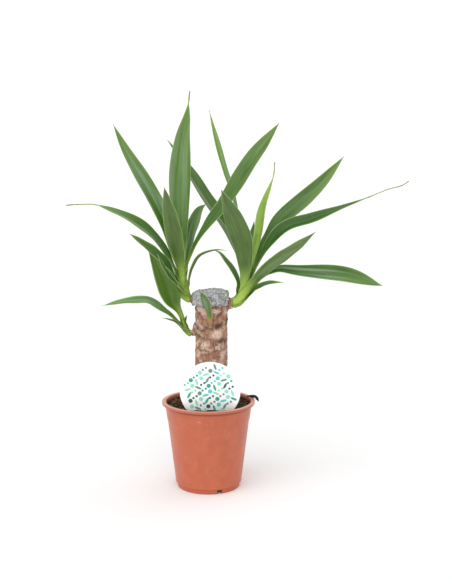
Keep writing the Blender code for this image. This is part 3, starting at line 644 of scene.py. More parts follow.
def fixed(piece, cutters):
    """Cut the shapes out of a piece and keep the result as its mesh."""
    for cutter in cutters:
        boolean = piece.modifiers.new(cutter.name, "BOOLEAN")
        boolean.operation = "DIFFERENCE"
        boolean.solver = "EXACT"
        boolean.object = cutter
    depsgraph = bpy.context.evaluated_depsgraph_get()
    mesh = bpy.data.meshes.new_from_object(piece.evaluated_get(depsgraph))
    piece.modifiers.clear()
    old = piece.data
    piece.data = mesh
    bpy.data.meshes.remove(old)
    for cutter in cutters:
        bpy.data.objects.remove(cutter, do_unlink=True)


def temporary(name, bm):
    """A shape that only cuts."""
    mesh = bpy.data.meshes.new(name)
    bm.to_mesh(mesh)
    bm.free()
    piece = bpy.data.objects.new(name, mesh)
    bpy.context.scene.collection.objects.link(piece)
    return piece


class YUCCA_OT_pot(bpy.types.Operator):
    """Make the nursery pot"""
    bl_idname = "yucca.pot"
    bl_label = "Nursery Pot"

    def execute(self, context):
        settings = context.scene.yucca_pot
        rim = settings.rim_radius
        height = settings.height
        wall = settings.wall
        lip_bottom = height - settings.lip
        floor_top = FLOOR_UNDERSIDE + FLOOR_THICKNESS
        ledge = height - wall
        ring = MOULD_RING_HEIGHT
        profile = (
            (0.0, floor_top),
            (body_radius(FOOT_HEIGHT) - wall, floor_top),
            (BODY_TOP_RADIUS - wall, height),
            (rim, height),
            (rim - 0.0002, lip_bottom),
            (rim - wall, lip_bottom),
            (rim - wall, ledge),
            (body_radius(ledge), ledge),
            (body_radius(ring + 0.0040), ring + 0.0040),
            (body_radius(ring + 0.0034) - 0.0003, ring + 0.0034),
            (body_radius(ring + 0.0006) - 0.0003, ring + 0.0006),
            (body_radius(ring) - 0.0007, ring),
            (body_radius(FOOT_HEIGHT + 0.0022) - 0.0003, FOOT_HEIGHT + 0.0022),
            (BODY_FOOT_RADIUS + 0.0002, FOOT_HEIGHT + 0.0012),
            (BODY_FOOT_RADIUS, FOOT_HEIGHT),
            (FOOT_RADIUS, FOOT_HEIGHT),
            (FOOT_RADIUS - 0.0003, 0.0),
            (FOOT_RADIUS - wall, 0.0),
            (FOOT_RADIUS - wall, FLOOR_UNDERSIDE),
            (PAD_RADIUS + 0.0015, FLOOR_UNDERSIDE),
            (PAD_RADIUS, 0.0),
            (0.0, 0.0),
        )
        pot = finished("nursery_pot", spun(rounded(profile, 0.0007), 192),
                       [moulded_polypropylene(settings)], ["pot"])
        cutters = []
        for angle in NOTCH_ANGLES:
            notch = bmesh.new()
            place = (Matrix.Rotation(math.radians(angle), 4, "Z")
                     @ Matrix.Translation((FOOT_RADIUS, 0, 0))
                     @ Matrix.Diagonal((0.008, NOTCH_WIDTH, 2 * NOTCH_HEIGHT, 1.0)))
            bmesh.ops.create_cube(notch, size=1.0, matrix=place)
            cutters.append(temporary("notch_cutter", notch))
        for number in range(DRAIN_COUNT):
            angle = math.radians(DRAIN_TURN) + 2 * math.pi * number / DRAIN_COUNT
            drain = bmesh.new()
            place = Matrix.Translation((DRAIN_CIRCLE * math.cos(angle),
                                        DRAIN_CIRCLE * math.sin(angle), FLOOR_UNDERSIDE))
            bmesh.ops.create_cone(drain, cap_ends=True, segments=32, radius1=DRAIN_RADIUS,
                                  radius2=DRAIN_RADIUS, depth=0.006, matrix=place)
            cutters.append(temporary("drain_cutter", drain))
        fixed(pot, cutters)
        pot.data.shade_smooth()
        pot.data.set_sharp_from_angle(angle=math.radians(35))
        return {"FINISHED"}


# Soil

def peat_potting_mix(settings):
    """Damp peat potting mix, milled: almost black, matt, with straw-coloured specks of fibre."""
    material, tree, shader = new_material("peat_potting_mix", 0.92, Specular_IOR_Level=0.25)
    clump = threshold(tree, object_noise(tree, 4.0, 4.0, 0.65), 0.35, 0.65)
    colour = blend_colours(tree, clump, linear("#0F0C08"), settings.colour)
    crumb = threshold(tree, object_noise(tree, 1.8, 3.0), 0.57, 0.64)
    colour = blend_colours(tree, crumb, colour, linear("#4B3A26"))
    speck = threshold(tree, object_noise(tree, 1.7, 2.0), 0.62, 0.67)
    colour = blend_colours(tree, speck, colour, settings.speck)
    tree.links.new(colour, shader.inputs["Base Color"])
    bump_from(tree, shader, object_noise(tree, 0.7, 3.0, 0.7), 0.25)
    return material


def dried_peat_fibre(settings):
    """Dried plant fibre from the peat: straw to brown, dull."""
    material, tree, shader = new_material("dried_peat_fibre", 0.8, Specular_IOR_Level=0.3)
    shade = threshold(tree, object_noise(tree, 6.0, 2.0), 0.35, 0.65)
    colour = blend_colours(tree, shade, linear("#5A452A"), settings.speck)
    tree.links.new(colour, shader.inputs["Base Color"])
    return material


def soil_height(x, y, settings):
    """Height of the heaped soil surface at a place, with its clods."""
    radius = math.hypot(x, y)
    edge = body_radius(SOIL_EDGE_HEIGHT) - 0.0020
    heap = 1 - ease(radius, 0.026, edge)
    base = SOIL_EDGE_HEIGHT + (settings.height - SOIL_EDGE_HEIGHT) * heap
    clods = 0.0012 * rough_grain((x, y, 0.0), 0.0075, 2, 3.0)
    crumbs = 0.0008 * rough_grain((x, y, 0.0), 0.0022, 2, 9.0)
    return base + clods + crumbs - 0.0004


class YUCCA_OT_soil(bpy.types.Operator):
    """Make the potting mix with its loose crumbs and fibres"""
    bl_idname = "yucca.soil"
    bl_label = "Potting Mix"

    def execute(self, context):
        settings = context.scene.yucca_soil
        material = peat_potting_mix(settings)
        edge = body_radius(SOIL_EDGE_HEIGHT) - 0.0020
        foot = body_radius(SOIL_BOTTOM) - 0.0045
        top = stepped([(0.0, SOIL_EDGE_HEIGHT), (edge, SOIL_EDGE_HEIGHT)], 0.0008)
        below = [(edge - 0.0003, SOIL_EDGE_HEIGHT - 0.0025), (foot, SOIL_BOTTOM), (0.0, SOIL_BOTTOM)]
        bm = spun(top + below, 260)
        for vertex in bm.verts:
            if vertex.co.z > SOIL_EDGE_HEIGHT - 0.0010:
                vertex.co.z = soil_height(vertex.co.x, vertex.co.y, settings)
        finished("potting_mix", bm, [material], ["potting_soil"], 80)
        self.scatter_crumbs(settings, material, edge)
        self.scatter_fibres(settings, edge)
        return {"FINISHED"}

    def scatter_crumbs(self, settings, material, edge):
        """Loose crumbs, most of them towards the wall."""
        picker = random.Random(41)
        bm = bmesh.new()
        for _ in range(settings.crumbs):
            radius = edge * (0.42 + 0.56 * math.sqrt(picker.random()))
            angle = picker.uniform(0, 2 * math.pi)
            x = radius * math.cos(angle)
            y = radius * math.sin(angle)
            size = MM * (0.45 + 1.15 * picker.random() ** 2.5)
            place = Matrix.Translation((x, y, soil_height(x, y, settings) + 0.3 * size))
            turn = Matrix.Rotation(picker.uniform(0, 6.28), 4, "X") @ Matrix.Rotation(
                picker.uniform(0, 6.28), 4, "Z")
            flatten = Matrix.Diagonal((1.0, picker.uniform(0.6, 1.0), picker.uniform(0.5, 0.9), 1.0))
            bmesh.ops.create_icosphere(bm, subdivisions=1, radius=size,
                                       matrix=place @ turn @ flatten)
        for vertex in bm.verts:
            jitter = 0.00025 * grain(vertex.co, 0.0009, 5.0)
            vertex.co += vertex.co.normalized() * jitter
        finished("soil_crumbs", bm, [material], crease=60)

    def scatter_fibres(self, settings, edge):
        """Thin bent strands lying on the surface."""
        picker = random.Random(77)
        bm = bmesh.new()
        for _ in range(settings.fibres):
            radius = edge * (0.45 + 0.50 * math.sqrt(picker.random()))
            angle = picker.uniform(0, 2 * math.pi)
            x = radius * math.cos(angle)
            y = radius * math.sin(angle)
            length = MM * picker.uniform(2.5, 7.0)
            turn = Matrix.Rotation(picker.uniform(0, 6.28), 4, "Z") @ Matrix.Rotation(
                picker.uniform(-0.25, 0.25), 4, "Y")
            bend = picker.uniform(-0.4, 0.4)
            place = Matrix.Translation((x, y, soil_height(x, y, settings) + 0.0004)) @ turn
            strand = bmesh.ops.create_grid(bm, x_segments=5, y_segments=6, size=1.0)["verts"]
            for vertex in strand:
                share = vertex.co.y / 2
                spin = math.pi * vertex.co.x
                radius = 0.00030 * (1.05 - 3.6 * share ** 2)
                vertex.co = place @ Vector((share * length,
                                            radius * math.cos(spin) + bend * share ** 2 * length,
                                            radius * math.sin(spin)))
        bmesh.ops.remove_doubles(bm, verts=bm.verts, dist=0.000001)
        bmesh.ops.holes_fill(bm, edges=[edge for edge in bm.edges if edge.is_boundary], sides=0)
        bmesh.ops.recalc_face_normals(bm, faces=bm.faces)
        finished("soil_fibres", bm, [dried_peat_fibre(settings)], crease=60)


# Cane

def weathered_yucca_bark(settings):
    """Yucca bark, dried and weathered: papery cork with dark leaf scars and pale worn patches.

    The attribute holds, per point, how deep in a scar it is, which also carries painted shade along
    each scar's groove (red), in a crack (green), and how worn the bark is there (blue).
    """
    material, tree, shader = new_material("weathered_yucca_bark", 0.80, Specular_IOR_Level=0.3)
    zones = add_node(tree, "ShaderNodeVertexColor", layer_name="bark")
    split = add_node(tree, "ShaderNodeSeparateColor", {"Color": zones.outputs["Color"]})
    scar, crack, worn = (split.outputs[name] for name in ("Red", "Green", "Blue"))
    mottle = threshold(tree, object_noise(tree, 6.0, 5.0, 0.65), 0.32, 0.66)
    colour = blend_colours(tree, mottle, linear("#8A6049"), settings.bark)
    streak = threshold(tree, object_noise(tree, 2.2, 5.0, 0.65, (1.0, 1.0, 0.30)), 0.44, 0.64)
    colour = blend_colours(tree, streak, colour, linear("#B8927A"))
    olive = threshold(tree, object_noise(tree, 3.0, 3.0, 0.6, (1.0, 1.0, 0.5)), 0.62, 0.72)
    colour = blend_colours(tree, olive, colour, linear("#937A48"))
    flake = threshold(tree, object_noise(tree, 2.6, 4.0, 0.65), 0.28, 0.58)
    worn_here = add_node(tree, "ShaderNodeMath", {0: worn, 1: flake}, operation="MULTIPLY")
    colour = blend_colours(tree, worn_here.outputs[0], colour, settings.pale)
    umber = threshold(tree, object_noise(tree, 4.2, 4.0, 0.65), 0.58, 0.72)
    colour = blend_colours(tree, umber, colour, linear("#74503C"))
    ragged = threshold(tree, object_noise(tree, 3.0, 5.0, 0.7), 0.20, 0.50)
    # Scar colour, with painted shade along each scar's groove
    scar_and_crevice_shade = add_node(tree, "ShaderNodeMath", {0: scar, 1: ragged}, operation="MULTIPLY")
    colour = blend_colours(tree, scar_and_crevice_shade.outputs[0], colour, linear("#5C3B2C"))
    colour = blend_colours(tree, crack, colour, settings.dark)
    # Dark specks of grime on the bark
    darkening = threshold(tree, object_noise(tree, 1.1, 2.0), 0.62, 0.72)
    colour = blend_colours(tree, darkening, colour, linear("#5B4334"))
    tree.links.new(colour, shader.inputs["Base Color"])
    bump_from(tree, shader, object_noise(tree, 1.3, 5.0, 0.7, (1.0, 1.0, 0.5)), 0.55)
    return material


def scar_height(edge, angle):
    """Height in metres of a leaf scar's edge at an angle round the cane."""
    turn = math.degrees(angle)
    corners = sorted(edge)
    ring = [(corners[-1][0] - 360, corners[-1][1]), *corners, (corners[0][0] + 360, corners[0][1])]
    for (start, low), (end, high) in zip(ring, ring[1:]):
        if start <= turn <= end:
            share = (turn - start) / (end - start)
            return MM * (low + (high - low) * (0.5 * share + 0.5 * ease(share, 0.0, 1.0)))
    return MM * corners[0][1]


def bark_at(angle, height, settings):
    """Relief in metres, and the scar share (with painted shade along each scar's groove), crack and wear
    shares, at a place on the cane.
    """
    around = Vector((math.cos(angle), math.sin(angle), 0.0)) * settings.radius
    spot = Vector((around.x, around.y, height))
    wobble = 0.0026 * rough_grain(spot, 0.008, 3, 2.0)
    scar_and_crevice_shade_share = 0.0
    relief = 0.0
    for darkness, width, edge in LEAF_SCARS:
        above = height + wobble - scar_height(edge, angle)
        # The scar's own dark colour, with painted shade along its groove
        shade = math.exp(-(above / (1.7 * width)) ** 2) * darkness
        shade *= 0.45 + 0.75 * ease(rough_grain(spot, 0.009, 2, 13.0), -0.30, 0.25)
        scar_and_crevice_shade_share = max(scar_and_crevice_shade_share, shade)
        relief -= settings.relief * math.exp(-(above / 0.0010) ** 2) * darkness
        relief += 0.9 * settings.relief * math.exp(-((above + 0.0028) / 0.0020) ** 2) * darkness
    stretched = Vector((around.x / 0.0034, around.y / 0.0034, height / 0.030))
    furrow = noise.noise(stretched + Vector((5.0, 1.0, 2.0)))
    furrow_weight = 0.15 + 0.85 * (1 - ease(height, 0.185, 0.212))
    crack_share = (1 - ease(abs(furrow), 0.0, 0.075)) * furrow_weight
    relief -= 0.7 * settings.relief * crack_share
    relief += 0.0008 * rough_grain(spot, 0.013, 2, 11.0) + 0.0004 * rough_grain(spot, 0.0030, 3, 4.0)
    worn = 0.75 * ease(rough_grain(spot, 0.011, 2, 21.0), 0.0, 0.45)
    for turn, level, across, up in PALE_PATCHES:
        off_angle = (math.degrees(angle) - turn + 180) % 360 - 180
        aside = math.radians(off_angle) * settings.radius / MM
        worn += 1.3 * math.exp(-(aside / across) ** 2 - ((height / MM - level) / up) ** 2)
    return relief, min(1.0, max(0.0, scar_and_crevice_shade_share)), 0.85 * crack_share, min(1.0, worn)


class YUCCA_OT_cane(bpy.types.Operator):
    """Make the cane with its leaf scars, cracks and side stubs"""
    bl_idname = "yucca.cane"
    bl_label = "Cane"

    def execute(self, context):
        settings = context.scene.yucca_cane
        around, rows = 190, 210
        bm = bmesh.new()
        zones = bm.verts.layers.float_color.new("bark")
        bmesh.ops.create_grid(bm, x_segments=around, y_segments=rows, size=1.0)
        for vertex in bm.verts:
            angle = math.pi * vertex.co.x
            height = CANE_LOW + (CANE_TOP - CANE_LOW) * (vertex.co.y + 1) / 2
            relief, scar, crack, worn = bark_at(angle, height, settings)
            radius = settings.radius + relief
            vertex.co = (CANE_X + radius * math.cos(angle), radius * math.sin(angle), height)
            vertex[zones] = (scar, crack, worn, 1.0)
        bmesh.ops.remove_doubles(bm, verts=bm.verts, dist=0.00002)
        bmesh.ops.holes_fill(bm, edges=[edge for edge in bm.edges if edge.is_boundary], sides=0)
        bmesh.ops.recalc_face_normals(bm, faces=bm.faces)
        for start, end, wide, narrow in STUBS:
            self.add_stub(bm, zones, Vector(start), Vector(end), wide, narrow)
        finished("cane_bark", bm, [weathered_yucca_bark(settings)], ["cane"], 70)
        return {"FINISHED"}

    def add_stub(self, bm, zones, start, end, wide, narrow):
        """A short knobbly side stub, flared where it leaves the cane."""
        reach = end - start
        bottom = 0.55 * wide + 0.45 * narrow
        stations = ((start, wide * 1.10), (start + 0.52 * reach, wide),
                    (start + 0.72 * reach, bottom), (start + 0.88 * reach, narrow * 1.15),
                    (end, narrow))
        stub = tube([(tuple(place), radius) for place, radius in stations], 44, 26)
        mesh = bpy.data.meshes.new("stub_shape")
        for vertex in stub.verts:
            share = max(0.0, min(1.0, (vertex.co - start).dot(reach) / reach.length_squared))
            away = vertex.co - (start + reach * share)
            away.y *= 0.85
            vertex.co = start + reach * share + away
            vertex.co += away * 0.22 * rough_grain(vertex.co, 0.0042, 3, 6.0)
        stub.to_mesh(mesh)
        stub.free()
        old = set(bm.verts)
        bm.from_mesh(mesh)
        bpy.data.meshes.remove(mesh)
        for vertex in bm.verts:
            if vertex not in old:
                shade = ease(rough_grain(vertex.co, 0.0030, 2, 8.0), 0.0, 0.5)
                pale = ease(rough_grain(vertex.co, 0.0045, 2, 3.0), 0.0, 0.6)
                vertex[zones] = (0.85 * shade, 0.0, pale, 1.0)


# Sealing wax

def crinkle(tree, grain_mm, width):
    """Wandering thin lines: 0 along the line where a noise crosses its middle, 1 away from it."""
    off = add_node(tree, "ShaderNodeMath", {0: object_noise(tree, grain_mm, 3.0, 0.65), 1: 0.5},
                   operation="SUBTRACT")
    size = add_node(tree, "ShaderNodeMath", {0: off.outputs[0]}, operation="ABSOLUTE")
    return threshold(tree, size.outputs[0], 0.0, width)


def sealing_wax(settings):
    """Grey sealing wax, brushed on hot: lumpy and dull, crazed and mottled like granite."""
    material, tree, shader = new_material("brushed_on_sealing_wax", 0.55, ior=1.44)
    fleck = threshold(tree, object_noise(tree, 3.6, 4.0, 0.65), 0.40, 0.60)
    colour = blend_colours(tree, fleck, settings.wax, settings.pale)
    craze = crinkle(tree, 3.4, 0.040)
    colour = blend_colours(tree, craze, linear("#54575A"), colour)
    fine = crinkle(tree, 1.9, 0.025)
    colour = blend_colours(tree, fine, linear("#7C7F80"), colour)
    pit = threshold(tree, object_noise(tree, 2.6, 4.0, 0.75), 0.61, 0.68)
    colour = blend_colours(tree, pit, colour, settings.dark)
    tree.links.new(colour, shader.inputs["Base Color"])
    relief = add_node(tree, "ShaderNodeMath", {0: craze, 1: fleck}, operation="ADD")
    bump_from(tree, shader, relief.outputs[0], 0.35)
    return material


class YUCCA_OT_wax(bpy.types.Operator):
    """Make the lump of sealing wax on the cut end"""
    bl_idname = "yucca.wax"
    bl_label = "Sealing Wax"

    def execute(self, context):
        settings = context.scene.yucca_wax
        centre_x = (CAP_LOW.x + CAP_HIGH.x) / 2
        radius = (CAP_HIGH.x - CAP_LOW.x) / 2 - 0.0003
        inner = context.scene.yucca_cane.radius - 0.0008
        profile = ((0.0, CAP_HIGH.z), (radius - 0.0012, CAP_HIGH.z - 0.0004),
                   (radius, CAP_HIGH.z - 0.0040),
                   (radius, CAP_LOW.z + 0.0012), (radius - 0.0008, CAP_LOW.z), (inner, CAP_LOW.z),
                   (inner, CANE_TOP - 0.0010), (0.0, CANE_TOP - 0.0010))
        bm = spun(stepped(rounded(profile, 0.0030), 0.0007), 200)
        for vertex in bm.verts:
            spot = vertex.co.copy()
            if spot.z < CANE_TOP and math.hypot(spot.x, spot.y) < inner + 0.0002:
                vertex.co.x += CANE_X
                continue
            leftness = max(0.0, -spot.x / radius)
            if spot.z > CANE_TOP:
                vertex.co.z -= 0.0030 * leftness
                vertex.co.z += 0.0014 * math.exp(-((spot.x + 0.003) / 0.003) ** 2
                                                 - ((spot.y + 0.008) / 0.004) ** 2)
            if spot.z < CAP_LOW.z + 0.0060:
                hem = 0.0034 * rough_grain((spot.x, spot.y, 0.0), 0.008, 2, 14.0)
                vertex.co.z += hem * (1 - ease(spot.z, CAP_LOW.z, CAP_LOW.z + 0.0060))
            vertex.co.x += centre_x
        bm.normal_update()
        moves = []
        for vertex in bm.verts:
            lump = rough_grain(vertex.co, 0.0058, 3, 31.0) * settings.lumps * 1.5
            dent = -0.8 * settings.lumps * ease(grain(vertex.co, 0.0024, 17.0), 0.05, 0.40)
            moves.append(vertex.normal * (lump + dent))
        for vertex, move in zip(bm.verts, moves):
            vertex.co += move
        finished("sealing_wax", bm, [sealing_wax(settings)], ["wax_cap"], 75)
        return {"FINISHED"}


# Label

def die_cut_card(settings):
    """White polypropylene sheet, die cut: smooth, satin and just off white."""
    material, tree, shader = new_material("die_cut_polypropylene_card", 0.38, ior=1.49)
    cloud = threshold(tree, object_noise(tree, 18.0, 2.0), 0.35, 0.65)
    colour = blend_colours(tree, cloud, linear("#F8FBFB"), settings.card)
    tree.links.new(colour, shader.inputs["Base Color"])
    bump_from(tree, shader, object_noise(tree, 0.6, 1.0), 0.01)
    return material


def screen_printed_ink():
    """Screen-printed ink in flat colours, one per motif, kept in the attribute."""
    material, tree, shader = new_material("screen_printed_ink", 0.45)
    ink = add_node(tree, "ShaderNodeVertexColor", layer_name="ink")
    worn = threshold(tree, object_noise(tree, 1.5, 3.0), 0.66, 0.80)
    colour = blend_colours(tree, worn, ink.outputs["Color"], linear("#DDEDE8"))
    tree.links.new(colour, shader.inputs["Base Color"])
    return material


def label_place():
    """Position and lean of the card, its face towards -Y."""
    return Matrix.Translation((0.0027, -0.0380, 0.1337)) @ Matrix.Rotation(math.radians(3.0), 4, "X")


class YUCCA_OT_label(bpy.types.Operator):
    """Make the round label on its stake, and its printed pattern of dots and dashes"""
    bl_idname = "yucca.label"
    bl_label = "Plant Label"

    def execute(self, context):
        settings = context.scene.yucca_label
        half = settings.thickness / 2
        upright = Matrix.Rotation(math.radians(90), 4, "X")
        bm = bmesh.new()
        bmesh.ops.create_cone(bm, cap_ends=True, segments=160, radius1=settings.radius,
                              radius2=settings.radius, depth=settings.thickness, matrix=upright)
        rims = [edge for edge in bm.edges if abs(edge.verts[0].co.y - edge.verts[1].co.y) < half]
        bmesh.ops.bevel(bm, geom=rims, offset=0.00018, segments=2, profile=0.5, affect="EDGES",
                        material=-1)
        stake = bmesh.ops.create_cube(bm, size=1.0, matrix=Matrix.Translation(
            (0, 0, -settings.radius - 0.0160)) @ Matrix.Diagonal((0.0118, 0.0009, 0.0390, 1.0)))
        for vertex in stake["verts"]:
            if vertex.co.z < -settings.radius - 0.030:
                vertex.co.x *= 0.35
        bmesh.ops.transform(bm, matrix=label_place(), verts=bm.verts)
        finished("label_card", bm, [die_cut_card(settings)], ["plant_label"])
        self.add_print(settings)
        return {"FINISHED"}

    def add_print(self, settings):
        """Slanting rows of dots, dashes and pairs of small dots, a thin film of ink on the face."""
        inks = [settings.mint, settings.aqua, settings.teal, settings.forest, settings.sage,
                settings.mint, settings.teal]
        picker = random.Random(12)
        film = 0.00010
        pitch = 0.0078
        face = -settings.thickness / 2 - film / 2 + 0.00003
        reach = settings.radius - 0.0048
        slant = math.radians(-18)
        upright = Matrix.Rotation(math.radians(90), 4, "X")
        bm = bmesh.new()
        ink = bm.verts.layers.float_color.new("ink")
        for row in range(-6, 7):
            for column in range(-6, 7):
                x = pitch * (column + 0.5 * (row % 2))
                z = 0.82 * pitch * row
                x, z = x * math.cos(slant) - z * math.sin(slant), x * math.sin(slant) + z * math.cos(slant)
                if math.hypot(x, z) > reach:
                    continue
                kind = (row + column) % 3
                colour = inks[picker.randrange(len(inks))]
                place = Matrix.Translation((x, face, z))
                if kind == 0:
                    self.add_motif(bm, ink, colour, place @ upright @ Matrix.Diagonal(
                        (0.0027, 0.0027, film, 1.0)), 24)
                elif kind == 1:
                    tilt = Matrix.Rotation(math.radians(24 + 47 * (row % 4)), 4, "Y")
                    self.add_motif(bm, ink, colour, place @ tilt @ upright @ Matrix.Diagonal(
                        (0.0043, 0.0015, film, 1.0)), 24)
                else:
                    for side in (-1, 1):
                        shift = Matrix.Translation((0.0020 * side, 0.0, 0.0012 * side))
                        self.add_motif(bm, ink, colour, place @ shift @ upright @ Matrix.Diagonal(
                            (0.0015, 0.0015, film, 1.0)), 16)
        bmesh.ops.transform(bm, matrix=label_place(), verts=bm.verts)
        finished("label_print", bm, [screen_printed_ink()])

    def add_motif(self, bm, ink, colour, place, sides):
        """One flat spot of ink."""
        motif = bmesh.ops.create_cone(bm, cap_ends=True, segments=sides, radius1=1.0, radius2=1.0,
                                      depth=1.0, matrix=place)
        for vertex in motif["verts"]:
            vertex[ink] = colour


# Bark chip

def splintered_bark():
    """A splinter of old bark, torn off: dark, fibrous along its length."""
    material, tree, shader = new_material("splintered_bark", 0.85, Specular_IOR_Level=0.3)
    fibre = threshold(tree, object_noise(tree, 1.2, 3.0, 0.6, (0.35, 1.0, 1.0)), 0.40, 0.66)
    colour = blend_colours(tree, fibre, linear("#1C130E"), linear("#4A3627"))
    tree.links.new(colour, shader.inputs["Base Color"])
    bump_from(tree, shader, object_noise(tree, 0.9, 3.0, 0.6, (0.35, 1.0, 1.0)), 0.3)
    return material


class YUCCA_OT_chip(bpy.types.Operator):
    """Make the splinter of bark that lies over the rim"""
    bl_idname = "yucca.chip"
    bl_label = "Bark Chip"

    def execute(self, context):
        centre = Vector((0.0572, 0.0120, 0.1141))
        turn = math.radians(-22)
        stations = (((-0.0080, 0.0002, -0.0002), 0.0005), ((-0.0055, 0.0, 0.0002), 0.0014),
                    ((-0.0020, 0.0003, 0.0005), 0.0018), ((0.0020, 0.0006, 0.0004), 0.0019),
                    ((0.0048, 0.0006, -0.0006), 0.0019), ((0.0066, 0.0004, -0.0026), 0.0017),
                    ((0.0082, 0.0004, -0.0056), 0.0005))
        bm = tube(stations, 18, 40)
        for vertex in bm.verts:
            vertex.co += Vector((0.25, 0.6, 0.8)) * 0.0006 * rough_grain(vertex.co, 0.0022, 3, 3.0)
        bmesh.ops.transform(bm, matrix=Matrix.Translation(centre) @ Matrix.Rotation(turn, 4, "Z"),
                            verts=bm.verts)
        finished("bark_splinter", bm, [splintered_bark()], ["bark_chip"], 60)
        return {"FINISHED"}


# Shoot stems

def fresh_leaf_sheath(settings):
    """Fresh leaf sheath, grown: waxy yellow-green, browner where it joins the bark."""
    material, tree, shader = new_material("fresh_leaf_sheath", 0.45, ior=1.45)
    zones = add_node(tree, "ShaderNodeVertexColor", layer_name="sheath")
    split = add_node(tree, "ShaderNodeSeparateColor", {"Color": zones.outputs["Color"]})
    streak = threshold(tree, object_noise(tree, 1.5, 3.0, 0.6, (1.0, 1.0, 0.2)), 0.38, 0.66)
    colour = blend_colours(tree, streak, linear("#7E9E3B"), settings.sheath)
    colour = blend_colours(tree, split.outputs["Green"], colour, linear("#5F7F2C"))
    colour = blend_colours(tree, split.outputs["Red"], colour, linear("#9C7A4A"))
    tree.links.new(colour, shader.inputs["Base Color"])
    bump_from(tree, shader, object_noise(tree, 1.0, 3.0, 0.6, (1.0, 1.0, 0.2)), 0.10)
    return material


class YUCCA_OT_stems(bpy.types.Operator):
    """Make the green stems of the shoots"""
    bl_idname = "yucca.stems"
    bl_label = "Shoot Stems"

    def execute(self, context):
        material = fresh_leaf_sheath(context.scene.yucca_leaf)
        for shoot, stations in SHOOTS.items():
            core = [(place, radius * STEM_CORE) for place, radius in stations]
            core[0] = (core[0][0], stations[0][1] * 0.92)
            bm = tube(core, 28, 60)
            zones = bm.verts.layers.float_color.new("sheath")
            base = Vector(stations[0][0])
            brown_from, brown_to = BROWN_REACH[shoot]
            for vertex in bm.verts:
                distance = (vertex.co - base).length
                brown = (1 - ease(distance, brown_from, brown_to)) * (0.75 + 0.4 * grain(vertex.co, 0.002))
                shade = 0.5 + 0.5 * grain(vertex.co, 0.004, 8.0)
                vertex[zones] = (min(1.0, max(0.0, brown)), 0.6 * shade, 0.0, 1.0)
            finished(shoot + "_shoot_base", bm, [material],
                     [shoot + "_shoot_stem"], 70)
        return {"FINISHED"}


# Leaves

